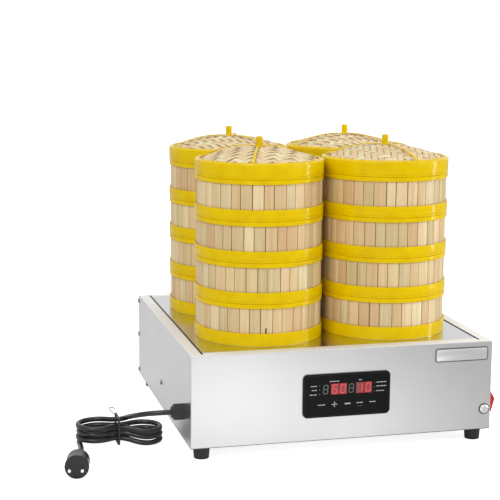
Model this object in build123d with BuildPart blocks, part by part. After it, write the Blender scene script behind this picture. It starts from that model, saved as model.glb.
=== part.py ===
from build123d import *
import os
from math import atan2, cos, degrees, dist, pi, radians, sin, sqrt, tan

os.makedirs("parts", exist_ok=True)

# Sheet metal cabinet
cabinet_width = 500
cabinet_depth = 480
cabinet_height = 148
sheet = 1.2
fold_radius = 2
lip_width = 20
slide_fit = 0.3

# Deck plate let into the lip, with a slit at its left and right
deck_side_slit = 2
deck_end_slit = 0.3
steam_hole_radius = 85
seat_height = 2.4
seat_outer_radius = 104.5

# Feet
foot_height = 20
foot_washer = 1
foot_top_radius = 13.5
foot_bottom_radius = 12
foot_inset_x = 21.5
foot_inset_y = 22

# Baskets: a wall of staves between an inner hoop and two plastic bands
basket_radius = 105
basket_height = 65.5
stack_spacing = 215
stack_shift = 7.5
tiers = 4
band_wall = 1.8
bottom_band_height = 18.7
top_band_height = 7.3
band_web = 1.5
band_edge = 0.6
stave_count = 36
stave_thickness = 4
stave_joint = 0.5
stave_unevenness = 0.14
part_fit = 0.2
hoop_outer_radius = 98
hoop_wall = 2
tongue = 3.5
tongue_fit = 0.5
floor_hoop_wall = 2.3
floor_hoop_height = 8
floor_bar_width = 10
floor_bar_height = 5
floor_bar_offset = 38
lath_width = 11
lath_gap = 3.6
lath_thickness = 2

# Lids
lid_rim_height = 25
lid_flange = 1.6
lid_flange_radius = 96.5
lid_bead_width = 3
lid_bead_height = 1.2
lid_edge = 1
dome_rise = 18
dome_thickness = 2.2
dome_edge_radius = 101.5
dome_edge_drop = 2
lid_hoop_top = 18
strap_width = 4
strap_thickness = 1.4
strap_clear = 3.4
strap_count = 3
handle_radius = 5.4
handle_height = 16.5

# Water tank and what is in it
tank_width = 430
tank_depth = 410
tank_bottom = 75
tank_flange_width = 225
tank_flange_overlap = 14
bracket_width = 24
bracket_drop = 46
heater_radius = 4.25
heater_bend = 36
heater_level = 12
heater_reach = 160
heater_tail = 22
heater_nut_radius = 9
heater_nut_thickness = 4
probe_radius = 3
probe_length = 70
probe_x = -192
probe_level = 30

# Control panel on the front wall
fascia_width = 145
fascia_height = 70.5
fascia_thickness = 2
fascia_corner = 8
fascia_x = 2
fascia_low = 38
window_width = 112
window_height = 46
board_width = 128
board_height = 62
board_thickness = 1.6
display_width = 38
display_height = 19
display_depth = 7
display_offset_x = 22
display_offset_z = 14
post_radius = 2.5
post_length = 7

# Blank badge on the front wall
badge_width = 91
badge_height = 23
badge_thickness = 1
badge_corner = 4
badge_x = 196.5
badge_z = 127.5

# Drain plug on the front wall and its pipe
drain_x = 238.5
drain_z = 34
drain_head_radius = 7.75
drain_head_height = 3.6
drain_slot_length = 5
drain_slot_width = 1
drain_slot_depth = 0.8
drain_shank_radius = 5
drain_block = 11
drain_pipe_radius = 5
drain_pipe_bore = 4
drain_pipe_bend = 12
drain_outlet_x = 190
drain_outlet_y = -190

# Rocker switch on the right wall
switch_inset = 24
switch_z = 44
switch_height = 49
switch_width = 26
switch_bezel = 4
switch_wall = 2
switch_depth = 26
switch_blade_length = 8
rocker_clearance = 0.3
rocker_pivot = 2.5
rocker_ridge = 11.6
rocker_shoulder = 3
rocker_floor = 3
rocker_ridge_radius = 1.5
rocker_pin_radius = 1.5
rocker_pin_fit = 0.05
rocker_tilt = 8

# Screws in the walls
screw_head_radius = 4
screw_head_height = 2.2
screw_radius = 1.9
screw_length = 8
rear_screw_inset = 8
rear_screw_levels = (8.4, 75.9, 139)
bracket_screw_level = 42
bracket_screw_y = (7, -142)

# Cord gland on the left wall
gland_inset = 22
gland_z = 55.6
gland_radius = 12
gland_length = 27
gland_collar = 6
gland_chamfer = 4.5
gland_ribs = 24
gland_rib_radius = 0.7
gland_thread_radius = 9
gland_nut_radius = 12
gland_nut_thickness = 4
gland_mouth = 8

# Power cord, its tied hank and its plug
cord_radius = 4.25
cord_fit = 0.15
bend_share = 0.45
hank_x = -342
hank_y = -112
hank_half = 38
hank_end_radius = 33.5
hank_fan = 1.5
hank_waist = 6
hank_layers = 4
hank_step = 9.4
hank_lift = 3
tie_thickness = 1.4
tie_width = 3
tie_half_width = 19.5
tie_top = 45.5
tie_shift = 3
tie_corner = 4
tie_tail = 34
plug_radius = 18.5
plug_length = 42
plug_neck_radius = 8
plug_neck_length = 16
plug_pin_radius = 2.4
plug_pin_length = 19
plug_pin_spacing = 19
plug_nose = 6

# Places worked out from the sizes. The origin is in the middle of the object's footprint, on the ground
base_z = foot_height + foot_washer
deck_z = base_z + cabinet_height
right_reach = rocker_pivot + rocker_ridge * cos(radians(rocker_tilt))
front_reach = drain_head_height
mid_x = (screw_head_height - right_reach) / 2
mid_y = front_reach / 2
left_x = mid_x - cabinet_width / 2
right_x = mid_x + cabinet_width / 2
front_y = mid_y - cabinet_depth / 2
back_y = mid_y + cabinet_depth / 2
opening_x = cabinet_width / 2 - lip_width
opening_y = cabinet_depth / 2 - lip_width
stack_z = deck_z + seat_height
tongue_radius = hoop_outer_radius
locating_radius = tongue_radius + 2 * part_fit
stack_middle_y = mid_y + stack_shift
half = stack_spacing / 2
stacks = {
    "a": (mid_x - half, stack_middle_y - half),
    "b": (mid_x + half, stack_middle_y - half),
    "c": (mid_x - half, stack_middle_y + half),
    "d": (mid_x + half, stack_middle_y + half),
}
lid_turns = {"a": -110, "b": -78, "c": -55, "d": -50}


def block(low, high, mode=Mode.ADD):
    # a box between two corners
    middle = [(a + b) / 2 for a, b in zip(low, high)]
    size = [b - a for a, b in zip(low, high)]
    with Locations(tuple(middle)):
        Box(*size, mode=mode)


def rod(start, direction, radius, length, mode=Mode.ADD):
    # a round bar from a point, along a direction
    with BuildSketch(Plane(origin=start, z_dir=direction)) as end:
        Circle(radius)
    extrude(end.sketch, amount=length, mode=mode)


def ring(plane, outer, inner, height, mode=Mode.ADD):
    with BuildSketch(plane) as end:
        Circle(outer)
        Circle(inner, mode=Mode.SUBTRACT)
    extrude(end.sketch, amount=height, mode=mode)


def save(piece, name):
    piece.part.label = name
    export_step(piece.part, f"parts/{name}.step")


# Cabinet shell: front and side walls with a lip round the top, open below and at the back
with BuildPart() as cabinet_shell:
    block((left_x, front_y, base_z), (right_x, back_y, deck_z))
    outside = cabinet_shell.edges().filter_by(Axis.Z) + cabinet_shell.edges().group_by(Axis.Z)[-1]
    fillet(outside, fold_radius)
    block(
        (left_x + sheet, front_y + sheet, base_z),
        (right_x - sheet, back_y, deck_z - sheet),
        mode=Mode.SUBTRACT,
    )
    with Locations((mid_x, mid_y, deck_z - sheet / 2)):
        Box(2 * opening_x, 2 * opening_y, sheet, mode=Mode.SUBTRACT)
    # window behind the control panel
    fascia_middle_z = base_z + fascia_low + fascia_height / 2
    block(
        (mid_x + fascia_x - window_width / 2, front_y, fascia_middle_z - window_height / 2),
        (mid_x + fascia_x + window_width / 2, front_y + sheet, fascia_middle_z + window_height / 2),
        mode=Mode.SUBTRACT,
    )
    # hole for the drain plug, cut-out for the switch and hole for the cord gland
    drain_at = (mid_x + drain_x, front_y, base_z + drain_z)
    rod(drain_at, (0, 1, 0), drain_shank_radius + part_fit, sheet, mode=Mode.SUBTRACT)
    switch_y = front_y + switch_inset
    switch_mid_z = base_z + switch_z
    body_half_width = switch_width / 2 - switch_wall
    body_half_height = switch_height / 2 - switch_wall
    block(
        (right_x - sheet, switch_y - body_half_width - part_fit, switch_mid_z - body_half_height - part_fit),
        (right_x, switch_y + body_half_width + part_fit, switch_mid_z + body_half_height + part_fit),
        mode=Mode.SUBTRACT,
    )
    gland_y = front_y + gland_inset
    gland_at = (left_x, gland_y, base_z + gland_z)
    rod(gland_at, (1, 0, 0), gland_thread_radius + part_fit, sheet, mode=Mode.SUBTRACT)
    # holes for the screws of both side walls
    screw_places = [(back_y - rear_screw_inset, base_z + level) for level in rear_screw_levels]
    screw_places += [(mid_y + y, base_z + bracket_screw_level) for y in bracket_screw_y]
    for y, z in screw_places:
        rod((left_x, y, z), (1, 0, 0), screw_radius + part_fit, sheet, mode=Mode.SUBTRACT)
        rod((right_x - sheet, y, z), (1, 0, 0), screw_radius + part_fit, sheet, mode=Mode.SUBTRACT)
save(cabinet_shell, "cabinet_shell")

# Back panel with flanges turned forward inside the side walls
inner_left = left_x + sheet + slide_fit
inner_right = right_x - sheet - slide_fit
back_flange = 2 * rear_screw_inset
back_top = deck_z - sheet - slide_fit
with BuildPart() as back_panel:
    block((inner_left, back_y - sheet, base_z), (inner_right, back_y, back_top))
    for x in (inner_left, inner_right - sheet):
        block((x, back_y - back_flange, base_z), (x + sheet, back_y, back_top))
    for level in rear_screw_levels:
        y = back_y - rear_screw_inset
        start = (inner_left, y, base_z + level)
        rod(start, (1, 0, 0), screw_radius + part_fit, sheet, mode=Mode.SUBTRACT)
        start = (inner_right - sheet, y, base_z + level)
        rod(start, (1, 0, 0), screw_radius + part_fit, sheet, mode=Mode.SUBTRACT)
save(back_panel, "back_panel")

# Bottom plate: a shallow tray between the walls, carried by the feet
foot_places = [
    (mid_x + sx * (cabinet_width / 2 - foot_inset_x), mid_y + sy * (cabinet_depth / 2 - foot_inset_y))
    for sx in (-1, 1)
    for sy in (-1, 1)
]
tray_rim = 5
tray_front = front_y + sheet + slide_fit
tray_back = back_y - back_flange - slide_fit
with BuildPart() as bottom_plate:
    block((inner_left, tray_front, base_z), (inner_right, tray_back, base_z + sheet + tray_rim))
    block(
        (inner_left + sheet, tray_front + sheet, base_z + sheet),
        (inner_right - sheet, tray_back - sheet, base_z + sheet + tray_rim),
        mode=Mode.SUBTRACT,
    )
    # a tongue at the back reaches under the back panel's flanges
    block(
        (inner_left + sheet + slide_fit, tray_back, base_z),
        (inner_right - sheet - slide_fit, back_y - sheet - slide_fit, base_z + sheet),
    )
    for x, y in foot_places:
        rod((x, y, base_z), (0, 0, 1), screw_radius + part_fit, sheet, mode=Mode.SUBTRACT)
save(bottom_plate, "bottom_plate")

# Feet: tapered rubber, each bored for its screw
foot_screw_recess = 12
foot_head_radius = 5
with BuildPart() as feet:
    for x, y in foot_places:
        with BuildSketch(Plane((x, y, 0))):
            Circle(foot_bottom_radius)
        with BuildSketch(Plane((x, y, foot_height))):
            Circle(foot_top_radius)
        loft()
        rod((x, y, 0), (0, 0, 1), screw_radius + part_fit, foot_height, mode=Mode.SUBTRACT)
        rod((x, y, 0), (0, 0, 1), foot_head_radius + part_fit, foot_screw_recess, mode=Mode.SUBTRACT)
save(feet, "feet")

# Screws: pan heads in the side walls, and one up through each foot with its washer and nut
foot_head_height = 2.5
foot_nut_radius = 4
foot_nut_thickness = 3
with BuildPart() as screws:
    for y, z in screw_places:
        for x, way in ((left_x, 1), (right_x, -1)):
            head = Plane(origin=(x, y, z), z_dir=(-way, 0, 0))
            with BuildSketch(head):
                Circle(screw_head_radius)
            extrude(amount=screw_head_height)
            rod((x, y, z), (way, 0, 0), screw_radius, screw_length)
    heads = screws.faces().filter_by(Axis.X)
    crowns = [f for f in heads if abs(f.area - pi * screw_head_radius**2) < 0.1]
    fillet([e for f in crowns for e in f.edges()], screw_head_height / 2)
    for x, y in foot_places:
        rod((x, y, foot_screw_recess - foot_head_height), (0, 0, 1), foot_head_radius, foot_head_height)
        shank = base_z + sheet + foot_nut_thickness + 1 - foot_screw_recess
        rod((x, y, foot_screw_recess), (0, 0, 1), screw_radius, shank)
        ring(Plane((x, y, foot_height)), 2 * foot_nut_radius, screw_radius, foot_washer)
        ring(Plane((x, y, base_z + sheet)), foot_nut_radius, screw_radius, foot_nut_thickness)
save(screws, "screws")

# Water tank: an open tray hung under the lip, with brackets down to the side walls
tank_z = base_z + tank_bottom
flange_z = deck_z - 2 * sheet
tank_half_x = tank_width / 2
tank_half_y = tank_depth / 2
with BuildPart() as water_tank:
    block(
        (mid_x - tank_half_x, mid_y - tank_half_y, tank_z),
        (mid_x + tank_half_x, mid_y + tank_half_y, flange_z + sheet),
    )
    flange_half_y = opening_y + tank_flange_overlap
    block(
        (mid_x - tank_flange_width, mid_y - flange_half_y, flange_z),
        (mid_x + tank_flange_width, mid_y + flange_half_y, flange_z + sheet),
    )
    block(
        (mid_x - tank_half_x + sheet, mid_y - tank_half_y + sheet, tank_z + sheet),
        (mid_x + tank_half_x - sheet, mid_y + tank_half_y - sheet, flange_z + sheet),
        mode=Mode.SUBTRACT,
    )
    for y in bracket_screw_y:
        low_y = mid_y + y - bracket_width / 2
        high_y = mid_y + y + bracket_width / 2
        for side, wall in ((-1, inner_left), (1, inner_right)):
            tucked = mid_x + side * (tank_half_x - lip_width)
            leg = wall - side * sheet
            block((min(wall, tucked), low_y, tank_z - sheet), (max(wall, tucked), high_y, tank_z))
            block((min(wall, leg), low_y, tank_z - bracket_drop), (max(wall, leg), high_y, tank_z))
            rod(
                (min(wall, leg), mid_y + y, base_z + bracket_screw_level),
                (1, 0, 0),
                screw_radius + part_fit,
                sheet,
                mode=Mode.SUBTRACT,
            )
    # holes for the heater's ends, the level probe and the drain
    heater_z = tank_z + sheet + heater_level
    front_wall_y = mid_y - tank_half_y
    for x in (-heater_reach, heater_reach):
        start = (mid_x + x, front_wall_y, heater_z)
        rod(start, (0, 1, 0), heater_radius + part_fit, sheet, mode=Mode.SUBTRACT)
    probe_at = (mid_x + probe_x, front_wall_y, tank_z + probe_level)
    rod(probe_at, (0, 1, 0), probe_radius + part_fit, sheet, mode=Mode.SUBTRACT)
    outlet = (mid_x + drain_outlet_x, mid_y + drain_outlet_y, tank_z)
    rod(outlet, (0, 0, 1), drain_pipe_bore, sheet, mode=Mode.SUBTRACT)
save(water_tank, "water_tank")

# Heating element: a sheathed tube bent to and fro in the tank, with a nut at each end
heater_run = tank_half_y - 60
heater_start = front_wall_y - heater_tail
heater_route = [
    (mid_x - heater_reach, heater_start, heater_z),
    (mid_x - heater_reach, mid_y + heater_run, heater_z),
    (mid_x - heater_reach / 3, mid_y + heater_run, heater_z),
    (mid_x - heater_reach / 3, mid_y - heater_run, heater_z),
    (mid_x + heater_reach / 3, mid_y - heater_run, heater_z),
    (mid_x + heater_reach / 3, mid_y + heater_run, heater_z),
    (mid_x + heater_reach, mid_y + heater_run, heater_z),
    (mid_x + heater_reach, heater_start, heater_z),
]
with BuildPart() as heating_element:
    with BuildLine():
        FilletPolyline(*heater_route, radius=heater_bend)
    with BuildSketch(Plane(origin=heater_route[0], z_dir=(0, 1, 0))):
        Circle(heater_radius)
    sweep()
    for x in (-heater_reach, heater_reach):
        start = (mid_x + x, front_wall_y - heater_nut_thickness, heater_z)
        with BuildSketch(Plane(origin=start, z_dir=(0, 1, 0))):
            RegularPolygon(heater_nut_radius, 6)
            Circle(heater_radius + part_fit, mode=Mode.SUBTRACT)
        extrude(amount=heater_nut_thickness)
save(heating_element, "heating_element")

# Level probe through the front wall of the tank
probe_outside = 14
with BuildPart() as level_probe:
    start = (probe_at[0], probe_at[1] - probe_outside, probe_at[2])
    rod(start, (0, 1, 0), probe_radius, probe_length)
    nut_start = (probe_at[0], probe_at[1] - heater_nut_thickness, probe_at[2])
    with BuildSketch(Plane(origin=nut_start, z_dir=(0, 1, 0))):
        RegularPolygon(2 * probe_radius, 6)
    extrude(amount=heater_nut_thickness)
save(level_probe, "level_probe")

# Deck plate with a raised seat and a steam hole for each stack
collar_radius = tongue_radius - hoop_wall
with BuildPart() as deck_plate:
    with BuildSketch(Plane.XY.offset(deck_z - sheet)):
        with Locations((mid_x, mid_y)):
            Rectangle(2 * (opening_x - deck_side_slit), 2 * (opening_y - deck_end_slit))
    extrude(amount=sheet)
    for x, y in stacks.values():
        seat = Plane((x, y, deck_z))
        with BuildSketch(seat):
            Circle(seat_outer_radius)
        extrude(amount=seat_height)
        with BuildSketch(seat.offset(seat_height)):
            Circle(tongue_radius)
        extrude(amount=tongue)
        with BuildSketch(seat.offset(seat_height)):
            Circle(collar_radius)
        extrude(amount=tongue, mode=Mode.SUBTRACT)
        with BuildSketch(seat.offset(-sheet)):
            Circle(steam_hole_radius)
        extrude(amount=sheet + seat_height, mode=Mode.SUBTRACT)
save(deck_plate, "deck_plate")

# Control fascia on the front wall
fascia_at = (mid_x + fascia_x, front_y, fascia_middle_z)
with BuildPart() as control_fascia:
    with BuildSketch(Plane(origin=fascia_at, x_dir=(1, 0, 0), z_dir=(0, -1, 0))):
        RectangleRounded(fascia_width, fascia_height, fascia_corner)
    extrude(amount=fascia_thickness)
save(control_fascia, "control_fascia")

# Control board behind it, with display modules, relay, terminal block and posts to the wall
board_y = front_y + sheet + post_length
board_x = mid_x + fascia_x
with BuildPart() as control_board:
    block(
        (board_x - board_width / 2, board_y, fascia_middle_z - board_height / 2),
        (board_x + board_width / 2, board_y + board_thickness, fascia_middle_z + board_height / 2),
    )
    for side in (-1, 1):
        x = board_x + side * display_offset_x
        z = fascia_middle_z + display_offset_z
        block(
            (x - display_width / 2, board_y - display_depth, z - display_height / 2),
            (x + display_width / 2, board_y, z + display_height / 2),
        )
        for level in (-1, 1):
            x = board_x + side * (board_width / 2 - 2 * post_radius)
            z = fascia_middle_z + level * (board_height / 2 - 2 * post_radius)
            rod((x, front_y + sheet, z), (0, 1, 0), post_radius, post_length)
    rear = board_y + board_thickness
    block((board_x - 50, rear, fascia_middle_z - 10), (board_x - 22, rear + 14, fascia_middle_z + 10))
    block((board_x - 12, rear, fascia_middle_z - 10), (board_x + 16, rear + 14, fascia_middle_z + 10))
    block((board_x + 28, rear, fascia_middle_z - 24), (board_x + 58, rear + 11, fascia_middle_z - 12))
save(control_board, "control_board")

# Blank badge
badge_at = (mid_x + badge_x, front_y, base_z + badge_z)
with BuildPart() as badge_plate:
    with BuildSketch(Plane(origin=badge_at, x_dir=(1, 0, 0), z_dir=(0, -1, 0))):
        RectangleRounded(badge_width, badge_height, badge_corner)
    extrude(amount=badge_thickness)
save(badge_plate, "badge_plate")

# Drain: a domed screw plug outside, an elbow block inside, and a pipe up to the tank
pipe_y = front_y + sheet + drain_block / 2
with BuildPart() as drain_fitting:
    rod(drain_at, (0, -1, 0), drain_head_radius, drain_head_height)
    rim = drain_fitting.edges().filter_by(GeomType.CIRCLE).sort_by(Axis.Y)[0]
    fillet(rim, drain_head_height * 0.8)
    slot_face = (drain_at[0], front_y - drain_head_height, drain_at[2])
    with BuildSketch(Plane(origin=slot_face, x_dir=(1, 0, 1), z_dir=(0, 1, 0))):
        Rectangle(drain_slot_length, drain_slot_width)
    extrude(amount=drain_slot_depth, mode=Mode.SUBTRACT)
    rod(drain_at, (0, 1, 0), drain_shank_radius, sheet)
    block(
        (drain_at[0] - drain_block / 2, front_y + sheet, drain_at[2] - drain_block / 2),
        (drain_at[0] + drain_block / 2, front_y + sheet + drain_block, drain_at[2] + drain_block / 2),
    )
    pipe_route = [
        (drain_at[0] - drain_block / 2, pipe_y, drain_at[2]),
        (outlet[0], pipe_y, drain_at[2]),
        (outlet[0], outlet[1], drain_at[2]),
        (outlet[0], outlet[1], tank_z),
    ]
    with BuildLine():
        FilletPolyline(*pipe_route, radius=drain_pipe_bend)
    with BuildSketch(Plane(origin=pipe_route[0], z_dir=(-1, 0, 0))):
        Circle(drain_pipe_radius)
        Circle(drain_pipe_bore, mode=Mode.SUBTRACT)
    sweep()
save(drain_fitting, "drain_fitting")

# Switch housing: a bezel on the right wall and a body through it, hollow for the rocker
pivot_x = right_x + rocker_pivot
cavity_half_width = body_half_width - switch_wall
cavity_half_height = body_half_height - switch_wall / 2
cavity_floor = pivot_x - rocker_floor - 4
with BuildPart() as switch_housing:
    with BuildSketch(Plane(origin=(right_x, switch_y, switch_mid_z), x_dir=(0, 1, 0), z_dir=(1, 0, 0))):
        RectangleRounded(switch_width, switch_height, 2)
    extrude(amount=switch_bezel, taper=20)
    block(
        (right_x - switch_depth, switch_y - body_half_width, switch_mid_z - body_half_height),
        (right_x, switch_y + body_half_width, switch_mid_z + body_half_height),
    )
    block(
        (cavity_floor, switch_y - cavity_half_width, switch_mid_z - cavity_half_height),
        (right_x + switch_bezel, switch_y + cavity_half_width, switch_mid_z + cavity_half_height),
        mode=Mode.SUBTRACT,
    )
    pin_hole = rocker_pin_radius + rocker_pin_fit
    pin_reach = cavity_half_width + 1
    hole_start = (pivot_x, switch_y - pin_reach, switch_mid_z)
    rod(hole_start, (0, 1, 0), pin_hole, 2 * pin_reach, mode=Mode.SUBTRACT)
    for y in (-1, 1):
        for z in (-1, 1):
            blade_y = switch_y + y * body_half_width / 2
            blade_z = switch_mid_z + z * body_half_height / 2
            block(
                (right_x - switch_depth - switch_blade_length, blade_y - 0.4, blade_z - 3),
                (right_x - switch_depth, blade_y + 0.4, blade_z + 3),
            )
save(switch_housing, "switch_housing")

# Rocker: a roof-shaped key on two stub pins, resting with its lower half proud
rocker_half_width = cavity_half_width - rocker_clearance
rocker_half_height = cavity_half_height - 1.2
turn = radians(rocker_tilt)


def tipped(out, up):
    # a point of the rocker's outline, turned to its resting tilt
    return out * cos(turn) - up * sin(turn), out * sin(turn) + up * cos(turn)


outline = [
    tipped(-rocker_floor, -rocker_half_height),
    tipped(rocker_shoulder, -rocker_half_height),
    tipped(rocker_ridge, 0),
    tipped(rocker_shoulder, rocker_half_height),
    tipped(-rocker_floor, rocker_half_height),
]
rocker_side = Plane(origin=(pivot_x, switch_y, switch_mid_z), x_dir=(1, 0, 0), z_dir=(0, -1, 0))
with BuildPart() as switch_rocker:
    with BuildSketch(rocker_side):
        with BuildLine():
            Polyline(*outline, close=True)
        make_face()
    extrude(amount=rocker_half_width, both=True)
    fillet(switch_rocker.edges().filter_by(Axis.Y).sort_by(Axis.X)[-1], rocker_ridge_radius)
    pin_start = (pivot_x, switch_y - pin_reach + part_fit, switch_mid_z)
    rod(pin_start, (0, 1, 0), rocker_pin_radius, 2 * (pin_reach - part_fit))
save(switch_rocker, "switch_rocker")

# Cord gland: ribbed dome nut outside the left wall, thread through it and a nut inside
gland_start = (left_x - gland_collar, gland_y, gland_at[2])
cord_exit = (left_x - gland_length, gland_y, gland_at[2])
with BuildPart() as cord_gland:
    with BuildSketch(Plane(origin=gland_at, z_dir=(-1, 0, 0))):
        RegularPolygon(gland_radius + 1, 6)
    extrude(amount=gland_collar)
    with BuildSketch(Plane(origin=gland_start, z_dir=(-1, 0, 0))):
        Circle(gland_radius)
    extrude(amount=gland_length - gland_collar)
    crown = cord_gland.edges().filter_by(GeomType.CIRCLE).sort_by(Axis.X)[0]
    chamfer(crown, gland_chamfer)
    with BuildSketch(Plane(origin=gland_start, z_dir=(-1, 0, 0))):
        with PolarLocations(gland_radius, gland_ribs):
            Circle(gland_rib_radius)
    extrude(amount=gland_length - gland_collar - gland_chamfer)
    rod(gland_at, (1, 0, 0), gland_thread_radius, sheet + gland_nut_thickness + 3)
    nut_start = (left_x + sheet, gland_y, gland_at[2])
    with BuildSketch(Plane(origin=nut_start, z_dir=(1, 0, 0))):
        RegularPolygon(gland_nut_radius, 6)
    extrude(amount=gland_nut_thickness)
    rod(cord_exit, (1, 0, 0), cord_radius + cord_fit, gland_mouth, mode=Mode.SUBTRACT)
save(cord_gland, "cord_gland")


# The cord's route is chosen by hand up to the hank. Heights are above the ground
def bend_radii(points, share=bend_share):
    # each bend is as large as its two runs allow
    radii = []
    for before, here, after in zip(points, points[1:], points[2:]):
        arriving = Vector(here) - Vector(before)
        leaving = Vector(after) - Vector(here)
        run = min(arriving.length, leaving.length)
        radii.append(share * run / tan(radians(arriving.get_angle(leaving)) / 2))
    return radii


hank_mid_x = mid_x + hank_x
hank_mid_y = mid_y + hank_y


def hank_point(along, across, height):
    return hank_mid_x + along, hank_mid_y + across, cord_radius + height


def layer_height(layer):
    return (layer - 1) * hank_step


# Each loop goes back waist, left end, front waist, right end, and comes down a layer along its front
slope = degrees(atan2(hank_end_radius - hank_waist, hank_half))
end_step = (180 + 2 * slope) / 4
hank_corners = []
for layer in range(hank_layers, 0, -1):
    height = layer_height(layer)
    below = layer_height(layer - 1)
    fan = hank_fan * (layer % 2)
    end_radius = hank_end_radius - fan
    hank_corners.append(hank_point(0, hank_waist, height + hank_lift))
    for corner in (-1.5, -0.5, 0.5, 1.5):
        angle = radians(180 + corner * end_step)
        along = -hank_half + end_radius * cos(angle)
        hank_corners.append(hank_point(along, end_radius * sin(angle), height))
    hank_corners.append(hank_point(0, -hank_waist, (height + below) / 2 + hank_lift))
    for corner in (-1.5, -0.5, 0.5, 1.5):
        angle = radians(corner * end_step)
        along = hank_half + fan + end_radius * cos(angle)
        hank_corners.append(hank_point(along, end_radius * sin(angle), below))
# the bottom loop ends at its left end, where the tail goes on to the plug
hank_corners = hank_corners[:-6]

lead_points = [
    (cord_exit[0] + gland_mouth, cord_exit[1], cord_exit[2]),
    (cord_exit[0] - 16, cord_exit[1], cord_exit[2]),
    (cord_exit[0] - 36.5, cord_exit[1] + 10, cord_exit[2] - 3),
    (cord_exit[0] - 49.5, cord_exit[1] + 23.5, cord_exit[2] - 8.5),
    (cord_exit[0] - 57, cord_exit[1] + 45.5, cord_exit[2] - 16.5),
    (hank_mid_x + 13.5, hank_mid_y - 31.5, 52),
]
tail_points = [
    hank_point(-hank_half - 29, -44, 2),
    hank_point(-hank_half - 33, -66, 11),
    hank_point(-hank_half - 36, -88, plug_radius - cord_radius),
    hank_point(-hank_half - 40, -108, plug_radius - cord_radius),
]


def halfway(first, second):
    return tuple((a + b) / 2 for a, b in zip(first, second))


# the whole route has one list of radii, and is cut in two places in the middle of a run
cord_route = lead_points + hank_corners + tail_points
cord_radii = bend_radii(cord_route)
first_cut = len(lead_points) + 1
second_cut = len(lead_points) + len(hank_corners)
lead_end = halfway(cord_route[first_cut - 1], cord_route[first_cut])
hank_end = halfway(cord_route[second_cut - 1], cord_route[second_cut])
lead_route = cord_route[:first_cut] + [lead_end]
hank_route = [lead_end] + cord_route[first_cut:second_cut] + [hank_end]
tail_route = [hank_end] + cord_route[second_cut:]
lead_radii = cord_radii[: first_cut - 1]
hank_radii = cord_radii[first_cut - 1 : second_cut - 1]
tail_radii = cord_radii[second_cut - 1 :]
print("lead radii", [round(radius, 1) for radius in lead_radii])
print("hank radii", [round(radius, 1) for radius in hank_radii])
print("tail radii", [round(radius, 1) for radius in tail_radii])


def tube(route, radii):
    with BuildLine() as path:
        FilletPolyline(*route, radius=radii)
    heading = Vector(route[1]) - Vector(route[0])
    with BuildSketch(Plane(origin=route[0], z_dir=heading)) as end:
        Circle(cord_radius)
    sweep(end.sketch, path=path.wires()[0])
    return path.wires()[0]


with BuildPart() as power_cord:
    lead_wire = tube(lead_route, lead_radii)
    tail_wire = tube(tail_route, tail_radii)
save(power_cord, "power_cord")

with BuildPart() as cord_hank:
    hank_wire = tube(hank_route, hank_radii)
save(cord_hank, "cord_hank")

# The least gap of the hank to itself, measured between points along it
steps = 500
spacing = hank_wire.length / steps
places = [tuple(hank_wire.position_at(i / steps)) for i in range(steps + 1)]
apart = int(4 * cord_radius / spacing) + 1
least = min(
    dist(places[i], places[j]) for i in range(len(places)) for j in range(i + apart, len(places))
)
section = pi * cord_radius**2
print("cord length", round(lead_wire.length + hank_wire.length + tail_wire.length, 1))
print("hank gap to itself", round(least - 2 * cord_radius, 2))
print("lead and tail volume", power_cord.part.volume, section * (lead_wire.length + tail_wire.length))
print("hank volume", cord_hank.part.volume, section * hank_wire.length)

# Wire tie round the hank's waist, with its twisted end standing up
tie_x = hank_mid_x - tie_shift
tie_y = hank_mid_y
tie_plane = Plane(origin=(tie_x - tie_width / 2, tie_y, tie_top / 2), x_dir=(0, 1, 0), z_dir=(1, 0, 0))
tail_foot = (tie_x, tie_y - 2, tie_top - tie_thickness / 2)
with BuildPart() as cord_tie:
    with BuildSketch(tie_plane):
        RectangleRounded(2 * tie_half_width, tie_top, tie_corner)
        offset(amount=-tie_thickness, mode=Mode.SUBTRACT)
    extrude(amount=tie_width)
    with BuildLine():
        ThreePointArc(
            tail_foot,
            (tie_x - tie_tail / 3, tie_y + tie_tail / 3, tie_top + 9),
            (tie_x, tie_y + tie_tail * 0.7, tie_top + 4),
        )
    with BuildSketch(Plane(origin=tail_foot, z_dir=(-1, 0, 1))):
        Circle(tie_thickness / 2)
    sweep()
save(cord_tie, "cord_tie")

# Plug at the cord's end, lying on the ground
plug_heading = (Vector(tail_route[-1]) - Vector(tail_route[-2])).normalized()
with BuildPart() as plug:
    neck = Plane(origin=tail_route[-1], z_dir=plug_heading)
    with BuildSketch(neck):
        Circle(plug_neck_radius * 0.75)
    with BuildSketch(neck.offset(plug_neck_length)):
        Circle(plug_neck_radius)
    loft()
    with BuildSketch(neck.offset(plug_neck_length)):
        Circle(plug_radius)
    extrude(amount=plug_length)
    rims = plug.edges().filter_by(GeomType.CIRCLE)
    fillet([e for e in rims if abs(e.radius - plug_radius) < 0.01], plug_nose / 3)
    face = neck.offset(plug_neck_length + plug_length)
    with BuildSketch(face):
        with GridLocations(plug_pin_spacing, plug_pin_spacing, 2, 1):
            Circle(plug_pin_radius)
    extrude(amount=plug_pin_length)
save(plug, "plug")


# Baskets
def stave_angles(turn):
    # unequal staves: the widths swing about their mean and fill the circle
    weights = [1 + stave_unevenness * sin(2.4 * i + turn) for i in range(stave_count)]
    total = sum(weights)
    angles = [turn]
    for weight in weights:
        angles.append(angles[-1] + 2 * pi * weight / total)
    return angles


band_inner_radius = basket_radius - band_wall
stave_corner_radius = band_inner_radius - part_fit
top_band_z = basket_height - top_band_height
web_z = basket_height - band_web


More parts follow.
